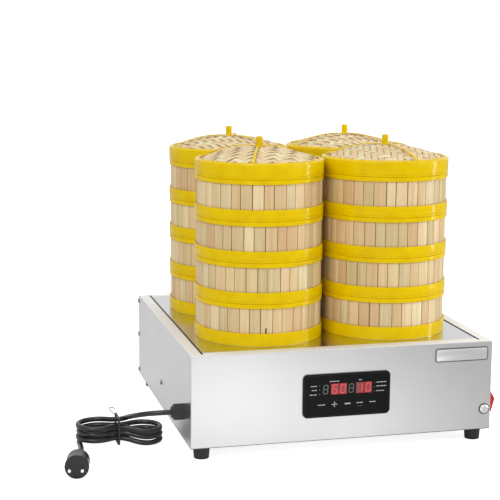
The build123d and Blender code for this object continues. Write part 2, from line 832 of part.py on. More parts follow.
def make_bamboo(x, y, z, turn):
    with BuildPart() as bamboo:
        with BuildSketch(Plane((x, y, z + band_web + part_fit))):
            angles = stave_angles(turn)
            joint = stave_joint / 2 / stave_corner_radius
            for start, stop in zip(angles, angles[1:]):
                corners = []
                for angle, radius in (
                    (start + joint, stave_corner_radius - stave_thickness),
                    (start + joint, stave_corner_radius),
                    (stop - joint, stave_corner_radius),
                    (stop - joint, stave_corner_radius - stave_thickness),
                ):
                    corners.append((radius * cos(angle), radius * sin(angle)))
                with BuildLine():
                    Polyline(*corners, close=True)
                make_face()
        extrude(amount=basket_height - 2 * (band_web + part_fit))
        # inner hoop, proud at the top
        hoop_foot = tongue + tongue_fit
        hoop_inner = hoop_outer_radius - hoop_wall
        hoop_height = basket_height + tongue - hoop_foot
        ring(Plane((x, y, z + hoop_foot)), hoop_outer_radius, hoop_inner, hoop_height)
        # floor: support hoop, cross bars and laths
        floor_outer = hoop_inner - part_fit
        floor_inner = floor_outer - floor_hoop_wall
        floor_top = z + hoop_foot + floor_hoop_height
        ring(Plane((x, y, z + hoop_foot)), floor_outer, floor_inner, floor_hoop_height)
        reach = floor_inner - part_fit
        for side in (-1, 1):
            outer_edge = floor_bar_offset + floor_bar_width / 2
            bar_half = sqrt(reach**2 - outer_edge**2)
            with Locations((x, y + side * floor_bar_offset, floor_top - floor_bar_height / 2)):
                Box(2 * bar_half, floor_bar_width, floor_bar_height)
        pitch = lath_width + lath_gap
        lath_count = int((floor_outer - lath_width / 2) / pitch)
        for i in range(-lath_count, lath_count + 1):
            edge = abs(i) * pitch + lath_width / 2
            lath_half = sqrt((floor_outer - part_fit) ** 2 - edge**2)
            with Locations((x + i * pitch, y, floor_top + lath_thickness / 2)):
                Box(lath_width, 2 * lath_half, lath_thickness)
    return bamboo


def round_outside(piece, radius, amount):
    rims = piece.edges().filter_by(GeomType.CIRCLE)
    fillet([e for e in rims if abs(e.radius - radius) < 0.01], amount)


def make_bands(x, y, z):
    with BuildPart() as bands:
        foot = Plane((x, y, z))
        ring(foot, basket_radius, locating_radius, band_web)
        ring(foot, basket_radius, band_inner_radius, bottom_band_height)
        ring(foot.offset(top_band_z), basket_radius, band_inner_radius, top_band_height)
        ring(foot.offset(web_z), basket_radius, locating_radius, band_web)
        round_outside(bands, basket_radius, band_edge)
    return bands


for stack, (x, y) in stacks.items():
    for tier in range(1, tiers + 1):
        z = stack_z + (tier - 1) * basket_height
        turn = 1.7 * tier + 0.9 * "abcd".index(stack)
        save(make_bamboo(x, y, z, turn), f"basket_{stack}{tier}_bamboo")
        save(make_bands(x, y, z), f"basket_{stack}{tier}_bands")


# Lids
dome_low = lid_rim_height - dome_edge_drop
dome_high = lid_rim_height + dome_rise
dome_drop = dome_high - dome_low
dome_sphere = (lid_flange_radius**2 + dome_drop**2) / (2 * dome_drop)


def dome_z(radius):
    return dome_high - dome_sphere + sqrt(dome_sphere**2 - radius**2)


def make_weave(x, y, z):
    with BuildPart() as weave:
        side = Plane(origin=(x, y, z), x_dir=(1, 0, 0), z_dir=(0, -1, 0))
        with BuildSketch(side):
            with BuildLine():
                middle = dome_edge_radius / 2
                top = ThreePointArc(
                    (0, dome_z(0)), (middle, dome_z(middle)), (dome_edge_radius, dome_z(dome_edge_radius))
                )
                low = ThreePointArc(
                    (0, dome_z(0) - dome_thickness),
                    (middle, dome_z(middle) - dome_thickness),
                    (dome_edge_radius, dome_z(dome_edge_radius) - dome_thickness),
                )
                Line(top @ 0, low @ 0)
                Line(top @ 1, low @ 1)
            make_face()
        revolve(axis=Axis((x, y, z), (0, 0, 1)))
        ring(Plane((x, y, z + part_fit)), stave_corner_radius, locating_radius, lid_hoop_top - part_fit)
    return weave


def make_frame(x, y, z, turn):
    with BuildPart() as frame:
        foot = Plane((x, y, z))
        ring(foot, basket_radius, band_inner_radius, lid_rim_height)
        ring(foot.offset(lid_rim_height - lid_flange), basket_radius, lid_flange_radius, lid_flange)
        round_outside(frame, basket_radius, lid_edge)
        bead_outer = lid_flange_radius + lid_bead_width
        ring(foot.offset(lid_rim_height), bead_outer, lid_flange_radius, lid_bead_height)
        bead_top = lid_rim_height + lid_bead_height
        # handle sleeve on the top of the dome
        rod((x, y, z + dome_high + part_fit), (0, 0, 1), handle_radius, handle_height)
        # straps from the handle, clear of the weave, to the bead
        for i in range(strap_count):
            way = radians(turn + i * 360 / strap_count)
            heading = (cos(way), sin(way), 0)
            side = Plane(origin=(x, y, z), x_dir=heading, z_dir=(sin(way), -cos(way), 0))
            inner = handle_radius + part_fit / 2
            middle = lid_flange_radius * 0.55
            with BuildSketch(side):
                with BuildLine():
                    low = ThreePointArc(
                        (inner, dome_high + part_fit),
                        (middle, dome_z(middle) + strap_clear),
                        (bead_outer - 1, bead_top + part_fit / 2),
                    )
                    high = ThreePointArc(
                        (inner, dome_high + part_fit + strap_thickness),
                        (middle, dome_z(middle) + strap_clear + strap_thickness),
                        (bead_outer - 1, bead_top + part_fit / 2 + strap_thickness),
                    )
                    Line(low @ 0, high @ 0)
                    Line(low @ 1, high @ 1)
                make_face()
            extrude(amount=strap_width / 2, both=True)
    return frame


lid_z = stack_z + tiers * basket_height
for stack, (x, y) in stacks.items():
    save(make_weave(x, y, lid_z), f"lid_{stack}_weave")
    save(make_frame(x, y, lid_z, lid_turns[stack]), f"lid_{stack}_frame")
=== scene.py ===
import bmesh
import bpy
import math
import random
from mathutils import Matrix, Vector


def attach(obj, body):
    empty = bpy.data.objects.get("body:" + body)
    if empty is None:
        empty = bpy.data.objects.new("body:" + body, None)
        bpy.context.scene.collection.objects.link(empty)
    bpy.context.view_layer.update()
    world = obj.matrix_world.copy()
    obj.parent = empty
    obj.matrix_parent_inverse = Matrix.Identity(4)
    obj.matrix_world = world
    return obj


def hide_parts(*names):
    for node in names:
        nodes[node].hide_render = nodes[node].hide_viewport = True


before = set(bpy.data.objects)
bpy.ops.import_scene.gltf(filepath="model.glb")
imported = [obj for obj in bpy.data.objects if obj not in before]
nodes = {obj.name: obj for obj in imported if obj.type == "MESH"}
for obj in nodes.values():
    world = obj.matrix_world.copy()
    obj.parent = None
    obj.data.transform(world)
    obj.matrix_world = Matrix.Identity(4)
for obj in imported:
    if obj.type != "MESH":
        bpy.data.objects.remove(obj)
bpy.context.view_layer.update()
scene = bpy.context.scene
mm = 0.001

# Places shared by all pieces, in metres. The frame's zero is in the middle of the whole footprint,
# so the cabinet's own middle is a little off it
screwOut = 2.2  # mm that a screw head stands out of the left wall
rockerOut = 2.5 + 11.6 * math.cos(math.radians(8))  # mm, the rocker and the right wall
drainOut = 3.6  # mm, the drain plug and the front
midX = (screwOut - rockerOut) / 2 * mm
midY = drainOut / 2 * mm
leftX = midX - 250 * mm
frontY = midY - 240 * mm
baseZ = 21 * mm
deckZ = 169 * mm
stackZ = 171.4 * mm


# Camera, from the photograph's own perspective
camera = {
    "lens": 97.7,
    "sensor": 36,
    "place": (-662 * mm + midX, -2220.5 * mm + midY, 661 * mm + baseZ),
    "yaw": 14.289,
    "pitch": 9.724,
    "roll": 0.413,
}


def addCamera(values):
    yaw, pitch, roll = (math.radians(values[key]) for key in ("yaw", "pitch", "roll"))
    ahead = Vector((math.sin(yaw) * math.cos(pitch), math.cos(yaw) * math.cos(pitch), -math.sin(pitch)))
    level = Vector((math.cos(yaw), -math.sin(yaw), 0))
    upright = level.cross(ahead)
    right = level * math.cos(roll) + upright * math.sin(roll)
    up = upright * math.cos(roll) - level * math.sin(roll)
    bpy.ops.object.camera_add()
    eye = bpy.context.object
    turned = Matrix((right, up, -ahead)).transposed().to_4x4()
    eye.matrix_world = Matrix.Translation(values["place"]) @ turned
    eye.data.lens = values["lens"]
    eye.data.sensor_width = values["sensor"]
    eye.data.sensor_fit = "HORIZONTAL"
    eye.data.clip_end = 20
    scene.camera = eye


addCamera(camera)
scene.view_settings.view_transform = "Standard"
print("camera placed")


# Helpers for modelling
def only(piece):
    bpy.ops.object.select_all(action="DESELECT")
    piece.select_set(True)
    bpy.context.view_layer.objects.active = piece


def called(name):
    # the object just added gets its name, and its place goes into its mesh
    piece = bpy.context.object
    piece.name = name
    piece.data.name = name
    bpy.ops.object.transform_apply(location=True, rotation=True, scale=True)
    return piece


def roundEdges(piece, width, segments=2, angle=35):
    only(piece)
    bevel = piece.modifiers.new("rounding", "BEVEL")
    bevel.width = width
    bevel.segments = segments
    bevel.limit_method = "ANGLE"
    bevel.angle_limit = math.radians(angle)
    bpy.ops.object.modifier_apply(modifier=bevel.name)


def smooth(piece, angle=40):
    only(piece)
    bpy.ops.object.shade_smooth_by_angle(angle=math.radians(angle))


def block(name, middle, size):
    bpy.ops.mesh.primitive_cube_add(size=1, location=middle, scale=size)
    return called(name)


def bar(name, low, high, rounding, segments=2):
    # a straight piece between two corners, with its edges eased
    middle = [(a + b) / 2 for a, b in zip(low, high)]
    piece = block(name, middle, [b - a for a, b in zip(low, high)])
    roundEdges(piece, rounding, segments)
    smooth(piece)
    return piece


def pickEdges(piece, wanted):
    # goes into edit mode and selects the edges whose run from end to end passes the test
    only(piece)
    bpy.ops.object.mode_set(mode="EDIT")
    bpy.ops.mesh.select_all(action="DESELECT")
    mesh = bmesh.from_edit_mesh(piece.data)
    for edge in mesh.edges:
        edge.select = wanted(edge.verts[0].co - edge.verts[1].co)
    bmesh.update_edit_mesh(piece.data)


def faceOutward():
    # turns all normals of the piece in edit mode outward, and leaves edit mode
    bpy.ops.mesh.select_all(action="SELECT")
    bpy.ops.mesh.normals_make_consistent(inside=False)
    bpy.ops.object.mode_set(mode="OBJECT")


def spun(name, outline, rounding, steps=96):
    # a turned piece: its outline of (radius, height) points is drawn by extruding a point, then spun
    bpy.ops.mesh.primitive_plane_add(size=mm, location=(outline[0][0], 0, outline[0][1]))
    piece = called(name)
    bpy.ops.object.mode_set(mode="EDIT")
    bpy.ops.mesh.select_all(action="SELECT")
    bpy.ops.mesh.merge(type="CENTER")
    for here, after in zip(outline, outline[1:]):
        step = (after[0] - here[0], 0, after[1] - here[1])
        bpy.ops.mesh.extrude_vertices_move(TRANSFORM_OT_translate={"value": step})
    bpy.ops.mesh.select_all(action="SELECT")
    bpy.ops.mesh.spin(steps=steps, angle=2 * math.pi, center=(0, 0, 0), axis=(0, 0, 1))
    bpy.ops.mesh.select_all(action="SELECT")
    bpy.ops.mesh.remove_doubles(threshold=2e-6)
    faceOutward()
    if rounding:
        roundEdges(piece, rounding)
    smooth(piece)
    return piece


def ringOutline(inner, outer, low, high):
    return [(inner, low), (outer, low), (outer, high), (inner, high), (inner, low)]


def copied(source, name, matrix):
    twin = source.copy()
    twin.data = source.data.copy()
    twin.name = name
    twin.data.name = name
    scene.collection.objects.link(twin)
    twin.data.transform(matrix)
    return twin


def joined(pieces, name):
    only(pieces[0])
    for piece in pieces:
        piece.select_set(True)
    bpy.ops.object.join()
    whole = bpy.context.object
    whole.name = name
    whole.data.name = name
    return whole


def remove(*pieces):
    for piece in pieces:
        bpy.data.objects.remove(piece)


def giveFinish(piece, kind):
    piece.data.materials.clear()
    piece.data.materials.append(finish[kind])


def dress(piece, kind, slot, body, *replaced):
    giveFinish(piece, kind)
    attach(piece, body)
    if replaced:
        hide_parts(*replaced)


def markTone(piece, tone):
    # one colour-picking triple for the whole of a small piece
    layer = piece.data.attributes.new("tone", "FLOAT_VECTOR", "POINT")
    for entry in layer.data:
        entry.vector = tone


def wrapUv(piece):
    # metres round and metres up, for grain that follows a bent strip
    radius = 100 * mm
    layer = piece.data.uv_layers.new(name="wrap")
    for face in piece.data.polygons:
        first = None
        for loop in face.loop_indices:
            point = piece.data.vertices[piece.data.loops[loop].vertex_index].co
            angle = math.atan2(point.y, point.x)
            first = angle if first is None else first
            angle = first + math.remainder(angle - first, 2 * math.pi)
            layer.data[loop].uv = (angle * radius, point.z)


def turnedBy(degrees, about="Z"):
    return Matrix.Rotation(math.radians(degrees), 4, about)


# Materials
def linear(text):
    # an sRGB hex value to linear light
    parts = [int(text[i : i + 2], 16) / 255 for i in (1, 3, 5)]
    return [part / 12.92 if part <= 0.04045 else ((part + 0.055) / 1.055) ** 2.4 for part in parts] + [1]


def newMaterial(name, **inputs):
    made = bpy.data.materials.new(name)
    made.use_nodes = True
    surface = made.node_tree.nodes["Principled BSDF"]
    for socket, value in inputs.items():
        surface.inputs[socket].default_value = value
    return made, surface


def feed(made, node, socket, value):
    # a socket takes a number or list, a colour in hex, or another node's output as (node, socket)
    if isinstance(value, tuple):
        made.node_tree.links.new(value[0].outputs[value[1]], node.inputs[socket])
    else:
        node.inputs[socket].default_value = linear(value) if isinstance(value, str) else value


def addNode(made, kind, inputs=None, **settings):
    node = made.node_tree.nodes.new(kind)
    for key, value in settings.items():
        setattr(node, key, value)
    for socket, value in (inputs or {}).items():
        feed(made, node, socket, value)
    return node


def coordinate(made, kind):
    return addNode(made, "ShaderNodeTexCoord"), kind


def axis(made, vector, letter):
    return addNode(made, "ShaderNodeSeparateXYZ", {"Vector": vector}), letter


def noise(made, scale, detail, source="Object", offset=None, roughness=0.5):
    # soft random variation, with a scale in features per metre for each axis
    place = {"Scale": scale, "Vector": coordinate(made, source)}
    if offset:
        place["Location"] = offset
    mapping = addNode(made, "ShaderNodeMapping", place)
    pattern = {"Scale": 1, "Detail": detail, "Roughness": roughness, "Vector": (mapping, "Vector")}
    return addNode(made, "ShaderNodeTexNoise", pattern), "Fac"


def evenly(size):
    return [1 / size] * 3


def ramp(made, source, stops):
    node = addNode(made, "ShaderNodeValToRGB", {"Fac": source})
    elements = node.color_ramp.elements
    while len(elements) < len(stops):
        elements.new(0.5)
    for element, (place, colour) in zip(elements, stops):
        element.position = place
        element.color = linear(colour)
    return node, "Color"


def ranged(made, source, before=(0, 1), after=(0, 1)):
    # maps an output from one range to another
    inputs = dict(zip(("From Min", "From Max", "To Min", "To Max"), (*before, *after)))
    return addNode(made, "ShaderNodeMapRange", {**inputs, "Value": source}), "Result"


def maths(made, operation, *values):
    return addNode(made, "ShaderNodeMath", dict(enumerate(values)), operation=operation), "Value"


def mixed(made, share, first, second, blend="MIX"):
    return addNode(made, "ShaderNodeMix", {0: share, 6: first, 7: second}, data_type="RGBA", blend_type=blend), 2


def coat(made, surface, colour, rough):
    feed(made, surface, "Base Color", colour)
    feed(made, surface, "Roughness", rough)


def bump(made, surface, height, strength, distance):
    node = addNode(made, "ShaderNodeBump", {"Strength": strength, "Distance": distance, "Height": height})
    feed(made, surface, "Normal", (node, "Normal"))


midNoise = (0.3, 0.7)  # where most of a noise's values lie


def brushedStainless(name, colour, darker, roughness, lengthwise=(1, 1, 40), upper=None):
    # cold-rolled stainless sheet with a fine brushed finish: soft streaks and faint cloudiness
    made, surface = newMaterial(name, Metallic=1)
    streakSize = 12 * mm  # along the brushing, and a fraction of it across
    streaks = noise(made, [value / streakSize for value in lengthwise], 3, roughness=0.6)
    clouds = noise(made, evenly(140 * mm), 2)
    tint = ramp(made, maths(made, "MULTIPLY_ADD", streaks, 0.35, clouds), [(0.35, darker), (0.95, colour)])
    rough = ranged(made, streaks, midNoise, (roughness * 0.85, roughness * 1.15))
    if upper:
        # painted light: upward faces, such as the folded lip, get a paler colour than the walls, and they are
        # made duller
        paintedLipLight, duller = upper
        top = ranged(made, axis(made, coordinate(made, "Normal"), "Z"), (0.6, 0.95))
        tint = mixed(made, top, tint, paintedLipLight)
        rough = maths(made, "MULTIPLY_ADD", top, duller, rough)
        # painted shade: the cut lower edge is made dull and dark, standing for the shadow gap under the sheet
        height = axis(made, coordinate(made, "Object"), "Z")
        paintedEdgeShade = ranged(made, height, (baseZ + 1.5 * mm, baseZ + 0.7 * mm), (0, 0.85))
        tint = mixed(made, paintedEdgeShade, tint, "#3C3C3E")
    coat(made, surface, tint, rough)
    bump(made, surface, streaks, 0.06, 0.05 * mm)
    return made


def mouldedPlastic(name, colour, shade, roughness, waves=0.05, ior=1.49):
    # injection-moulded plastic: an even colour with faint waviness and slight flow marks
    made, surface = newMaterial(name, IOR=ior)
    flow = noise(made, evenly(22 * mm), 2)
    speck = noise(made, evenly(4 * mm), 3)
    rough = ranged(made, speck, midNoise, (roughness * 0.8, roughness * 1.25))
    coat(made, surface, ramp(made, flow, [(0.3, shade), (0.7, colour)]), rough)
    bump(made, surface, flow, waves, 0.4 * mm)
    return made


def splitBamboo(name, palette, lengthways, source, roughness=0.5, edge=None):
    # split bamboo: pale fibres along the strip, and each strip cut from another part of the culm
    made, surface = newMaterial(name, IOR=1.5)
    tone = (addNode(made, "ShaderNodeAttribute", attribute_name="tone"), "Vector")
    fine = noise(made, lengthways, 4, source, tone, 0.65)
    broad = noise(made, [value / 5 for value in lengthways], 2, source, tone)
    strip = ramp(made, axis(made, tone, "X"), palette)
    streak = ramp(made, fine, [(0.3, "#E0D3BC"), (0.6, "#FFFFFF")])
    patch = ramp(made, broad, [(0.3, "#EAE1CE"), (0.6, "#FFFFFF")])
    streaked = mixed(made, 0.55, strip, streak, "MULTIPLY")
    colour = mixed(made, 0.6, streaked, patch, "MULTIPLY")
    if edge:
        # a strip's long edges are the darker skin of the culm, drawn a little wider than real so that they show
        side = maths(made, "ABSOLUTE", axis(made, coordinate(made, "UV"), "Y"))
        skin = ranged(made, side, (edge - 0.7 * mm, edge), (0, 0.62))
        colour = mixed(made, skin, colour, "#6B4A30")
    coat(made, surface, colour, ranged(made, fine, midNoise, (roughness * 1.15, roughness * 0.85)))
    bump(made, surface, fine, 0.35, 0.25 * mm)
    return made


def polishedPlating(name, colour, shade, roughness):
    # polished plating: nearly a mirror, with faint wipe marks
    made, surface = newMaterial(name, Metallic=1)
    wipes = noise(made, [1 / (9 * mm), 1 / (3 * mm), 1 / (9 * mm)], 3)
    rough = ranged(made, wipes, after=(roughness * 0.6, roughness * 1.6))
    coat(made, surface, ramp(made, wipes, [(0.2, shade), (0.7, colour)]), rough)
    return made


def blackRubber(name, colour, shade, roughness, grain):
    # moulded rubber or soft PVC: black with a dry bloom and a fine grain
    made, surface = newMaterial(name, IOR=1.52)
    bloom = noise(made, evenly(6 * mm), 3)
    pits = noise(made, evenly(grain), 2)
    rough = ranged(made, pits, after=(roughness * 0.8, roughness * 1.2))
    coat(made, surface, ramp(made, bloom, [(0.3, shade), (0.75, colour)]), rough)
    bump(made, surface, pits, 0.12, 0.2 * mm)
    return made


def litPlastic(name, colour, shade, strength):
    # a lamp behind a diffusing plastic: even light with a slightly uneven edge
    made, surface = newMaterial(name, Roughness=0.3)
    tint = ramp(made, noise(made, evenly(3 * mm), 1), [(0.2, shade), (0.8, colour)])
    feed(made, surface, "Base Color", tint)
    feed(made, surface, "Emission Color", tint)
    feed(made, surface, "Emission Strength", strength)
    return made


stavePalette = [
    (0, "#CDBD8E"), (0.18, "#E8D1A0"), (0.36, "#D4B183"), (0.54, "#EFDAAE"), (0.72, "#E0C093"), (0.88, "#D3C294"),
    (1, "#F3E2BC"),
]
weavePalette = [(0, "#D6BF8C"), (0.3, "#E3D0A1"), (0.55, "#D9BC94"), (0.8, "#DED0A1"), (1, "#E8DBB4")]
# painted shade for the side of the lining under the weave
underWeaveShadePalette = [(0, "#6E5236"), (1, "#806244")]
notchShadePalette = [(0, "#1E150D"), (1, "#2A1E13")]
grainDown = [1 / (1.1 * mm), 1 / (1.1 * mm), 1 / (45 * mm)]  # fibres about 1 mm apart and long
grainAlong = [1 / (45 * mm), 1 / (0.9 * mm), 1]

finish = {
    # the steel sheet carries a painted paler lip and a painted dark lower edge
    "steel": brushedStainless("brushedStainlessSheet", "#D6D6D7", "#CDCDCF", 0.36, upper=("#E2E2E0", 0.36)),
    "deck": brushedStainless("polishedStainlessDeck", "#D6D6D6", "#CACACA", 0.2, (1, 30, 1)),
    "inner": brushedStainless("pressedStainlessTank", "#C6C7C8", "#B7B8B9", 0.35, (30, 1, 1)),
    "screw": polishedPlating("nickelledScrewSteel", "#8E8E8D", "#6A6A6A", 0.22),
    "chrome": polishedPlating("polishedChromePlating", "#F2F3F4", "#D9DADB", 0.07),
    "badge": brushedStainless("darkSatinBadgeRim", "#8A8A8C", "#7C7C7E", 0.3, (30, 1, 1)),
    "badgeFace": brushedStainless("satinAluminiumBadge", "#F0F0F0", "#DCDCDD", 0.3),
    "yellow": mouldedPlastic("yellowPolypropylene", "#E8C600", "#DDBA00", 0.16, 0.02, 1.2),
    "acrylic": mouldedPlastic("blackAcrylicOverlay", "#0F0F10", "#0D0D0E", 0.22, 0.01, 1.2),
    "outline": mouldedPlastic("greyPrintedOutline", "#2C2D2F", "#262729", 0.3, 0.01, 1.36),
    "print": mouldedPlastic("whiteScreenPrint", "#BCBCBC", "#ACACAC", 0.4, 0.01),
    "unlit": mouldedPlastic("unlitDisplaySegment", "#5A625F", "#4C5351", 0.3, 0.01),
    "lit": litPlastic("litDisplaySegment", "#C65A53", "#BC4641", 0.26),
    "glow": litPlastic("redDisplayGlow", "#A02831", "#911D27", 0.24),
    "bezel": mouldedPlastic("darkRedNylonBezel", "#A3191C", "#8F1216", 0.35),
    "rocker": mouldedPlastic("redPolycarbonateRocker", "#DA2A2C", "#CC1E22", 0.2),
    "rubber": blackRubber("mouldedRubberFoot", "#202020", "#161616", 0.62, 0.9 * mm),
    "cable": blackRubber("blackSoftPvc", "#151516", "#0F0F10", 0.3, 1.5 * mm),
    "nylon": mouldedPlastic("blackNylonGland", "#222223", "#19191A", 0.42),
    "board": mouldedPlastic("greenEpoxyBoard", "#1E6A3C", "#175832", 0.4),
    "staves": splitBamboo("splitBambooStave", stavePalette, grainDown, "Object"),
    "weave": splitBamboo("wovenBambooStrip", weavePalette, grainAlong, "UV", 0.55, 4.75 * mm),
    "notchShade": splitBamboo("paintedNotchShade", notchShadePalette, grainDown, "Object", 0.7),
    "lining": splitBamboo("shadedInnerWeave", underWeaveShadePalette, grainAlong, "UV", 0.7),
    "hoop": splitBamboo("bentBambooHoop", stavePalette, grainAlong, "UV"),
}
print("materials made")


# Cord: the same route as in the part's source, as one smooth spline
cordValues = {
    "radius": 4.25 * mm,
    "length": 1.40,
    "mouth": 8 * mm,
    "gland": (27 * mm, 22 * mm, 55.6 * mm),  # its end: out of the left wall, behind the front, over the base
    "hankMiddle": (midX - 342 * mm, midY - 112 * mm),
    "halfLength": 38 * mm,
    "endRadius": 33.5 * mm,
    "fan": 1.5 * mm,
    "waist": 6 * mm,
    "layers": 4,
    "step": 9.4 * mm,
    "lift": 3 * mm,
    "fromGland": ((-16, 0, 0), (-36.5, 10, -3), (-49.5, 23.5, -8.5), (-57, 45.5, -16.5)),  # mm
    "intoHank": (13.5, -31.5, 52),  # mm from the hank's middle, on the ground
    "tail": ((-67, -44, 2), (-71, -66, 11), (-74, -88, 14.25), (-78, -108, 14.25)),  # mm, the same
}
glandOut, glandIn, glandUp = cordValues["gland"]
cordExit = Vector((leftX - glandOut, frontY + glandIn, baseZ + glandUp))


def hankPoint(along, across, height):
    middle = cordValues["hankMiddle"]
    return Vector((middle[0] + along, middle[1] + across, cordValues["radius"] + height))


def cordRoute(values):
    middle = values["hankMiddle"]
    x, y, z = values["intoHank"]
    start = [cordExit + Vector((values["mouth"], 0, 0))]
    start += [cordExit + Vector(step) * mm for step in values["fromGland"]]
    start.append(Vector((middle[0] + x * mm, middle[1] + y * mm, z * mm)))
    # long loops, pinched in the middle by the tie, from the top layer down
    half, waist = values["halfLength"], values["waist"]
    endStep = (math.pi + 2 * math.atan2(values["endRadius"] - waist, half)) / 4
    corners = (-1.5, -0.5, 0.5, 1.5)
    turns = []
    for layer in range(values["layers"], 0, -1):
        height = (layer - 1) * values["step"]
        below = height - values["step"]
        fan = values["fan"] * (layer % 2)
        radius = values["endRadius"] - fan
        leftEnd = (waist, height, -half, math.pi, height)
        rightEnd = (-waist, (height + below) / 2, half + fan, 0, below)
        for side, crossing, end, facing, level in (leftEnd, rightEnd):
            turns.append(hankPoint(0, side, crossing + values["lift"]))
            for corner in corners:
                angle = facing + corner * endStep
                turns.append(hankPoint(end + radius * math.cos(angle), radius * math.sin(angle), level))
    # the tail takes the place of the last half turn
    tail = [hankPoint(*(step * mm for step in place)) for place in values["tail"]]
    return start + turns[: -len(corners) - 2] + tail


route = cordRoute(cordValues)
line = bpy.data.curves.new("powerCord", "CURVE")
line.dimensions = "3D"
strand = line.splines.new("NURBS")
strand.points.add(len(route) - 1)
for entry, place in zip(strand.points, route):
    entry.co = (*place, 1)
strand.order_u = 3
strand.use_endpoint_u = True
strand.resolution_u = 6
line.bevel_depth = cordValues["radius"]
line.bevel_resolution = 4
line.use_fill_caps = True
line.materials.append(finish["cable"])
powerCord = bpy.data.objects.new("powerCord", line)
scene.collection.objects.link(powerCord)
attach(powerCord, "steam_base")
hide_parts("power_cord", "cord_hank")

# Plug: a turned body with a waisted grip and two pins, lying where the cord ends
plugValues = {
    "body": 18.5 * mm,
    "length": 42 * mm,
    "neck": 16 * mm,
    "neckRadius": 8 * mm,
    "sleeve": (5.2 * mm, 6 * mm, 6.4 * mm),  # radius at its end, just after it and halfway along
    "shoulder": 13.5 * mm,
    "grip": ((9 * mm, 0.6 * mm), (20 * mm, 1.6 * mm), (31 * mm, 0.6 * mm)),  # height over the neck, depth
    "pin": (2.4 * mm, 19 * mm, 19 * mm),  # radius, length, spacing
    "pinSunk": 0.4 * mm,
}


def addPlug(values):
    body, neck = values["body"], values["neck"]
    end = neck + values["length"]
    tip, start, half = values["sleeve"]
    housing = spun("plugBody", [
        (0, 0), (tip, 0), (start, 1 * mm), (half, 0.45 * neck), (values["neckRadius"], 0.9 * neck),
        (values["shoulder"], neck + 1 * mm), *((body - deep, neck + height) for height, deep in values["grip"]),
        (body, end - 5 * mm), (body, end - 0.5 * mm), (0, end - 0.5 * mm),
    ], 1.2 * mm, 64)
    radius, length, spacing = values["pin"]
    place = (spacing / 2, 0, end + length / 2 - values["pinSunk"])
    bpy.ops.mesh.primitive_cylinder_add(vertices=24, radius=radius, depth=length, location=place)
    pin = called("plugPin")
    roundEdges(pin, 1.0 * mm, 3)
    smooth(pin)
    other = copied(pin, "plugPinOther", Matrix.Translation((-spacing, 0, 0)))
    heading = (route[-1] - route[-2]).normalized()
    sideways = Vector((0, 0, 1)).cross(heading).normalized()
    turned = Matrix((sideways, heading.cross(sideways), heading)).transposed().to_4x4()
    pins = joined([pin, other], "plugPins")
    for piece in (housing, pins):
        piece.data.transform(Matrix.Translation(route[-1]) @ turned)
    dress(housing, "cable", "cord_black", "steam_base", "plug")
    dress(pins, "chrome", "chrome", "steam_base")
    return housing, pins


plugBody, plugPins = addPlug(plugValues)
giveFinish(nodes["cord_tie"], "cable")
giveFinish(nodes["cord_gland"], "nylon")
print("cord laid")


# Baskets
basketValues = {
    "radius": 105 * mm,
    "height": 65.5 * mm,
    "bottomBand": 18.7 * mm,
    "topBand": 7.3 * mm,
    "bandWall": 1.8 * mm,
    "web": 1.5 * mm,
    "locating": 98.4 * mm,
    "grooveUp": 3.5 * mm,
    "grooveDeep": 0.8 * mm,
    "skirt": 2.2 * mm,
    "skirtIn": 0.4 * mm,
    "staves": 36,
    "staveRadius": 103 * mm,
    "staveThick": 4 * mm,
    "staveWide": 17.8 * mm,  # before it is fitted to its place
    "staveGaps": (0.9, 1.1, 1.3, 1.7),  # mm
    "staveLean": 0.25,
    "staveIn": 0.35 * mm,
    "unevenness": 0.14,
    "hoop": (96 * mm, 98 * mm, 4 * mm, 69 * mm),  # two radii, two heights
    "floorHoop": (93.5 * mm, 95.8 * mm, 4 * mm, 12 * mm),
    "floorFit": 0.2 * mm,
    "crossBar": (38 * mm, 5 * mm, 5 * mm),  # its middle off the basket's, half its width, its height
    "lath": (11 * mm, 14.6 * mm, 2 * mm),
}
stackOut = 215 * mm / 2
stackSides = {"a": (-1, -1), "b": (1, -1), "c": (-1, 1), "d": (1, 1)}
stacks = {name: (midX + x * stackOut, midY + 7.5 * mm + y * stackOut) for name, (x, y) in stackSides.items()}
tiers = 4
tones = random.Random(11)


def bandFoot(outer, groove, deep):
    # a band's lower edge: turned in at the seam, with a fine groove above it
    side = outer - 0.1 * mm
    lower, upper = groove - 0.5 * mm, groove + 0.5 * mm
    return [(outer - 1.3 * mm, 0), (side, 1 * mm), (side, lower), (outer - deep, groove), (outer, upper)]


def makeBands(values, lowest):
    # the lowest basket's band reaches down over the raised seat that it stands on
    outer, locating, web = values["radius"], values["locating"], values["web"]
    inner = outer - values["bandWall"]
    edge = bandFoot(outer, values["grooveUp"], values["grooveDeep"])
    if lowest:
        low, skirt = -values["skirt"], outer - values["skirtIn"]
        edge = [(skirt, 0), (skirt, low), (outer, low), (outer, 1 * mm)]
    top = values["bottomBand"]
    bottom = spun("bottomBand", [
        (locating, 0), *edge, (outer, top), (inner, top), (inner, web), (locating, web), (locating, 0),
    ], 0.25 * mm, 112)
    low, high = values["height"] - values["topBand"], values["height"]
    upper = spun("topBand", [
        (inner, low), (outer - 0.3 * mm, low), (outer - 0.3 * mm, high - 1.1 * mm), (outer - 1.6 * mm, high),
        (locating, high), (locating, high - web), (inner, high - web), (inner, low),
    ], 0.3 * mm, 112)
    return joined([bottom, upper], "basketBands")


def staveAngles(values, turn):
    weights = [1 + values["unevenness"] * math.sin(2.4 * i + turn) for i in range(values["staves"])]
    total = sum(weights)
    angles = [turn]
    for weight in weights:
        angles.append(angles[-1] + 2 * math.pi * weight / total)
    return angles


def makeStave(values):
    # one flat stave with eased edges, on the X axis
    low = values["web"] + 0.2 * mm
    high = values["height"] - low
    face, half = values["staveRadius"], values["staveWide"] / 2
    return bar("stave", (face - values["staveThick"], -half, low), (face, half, high), 0.45 * mm)


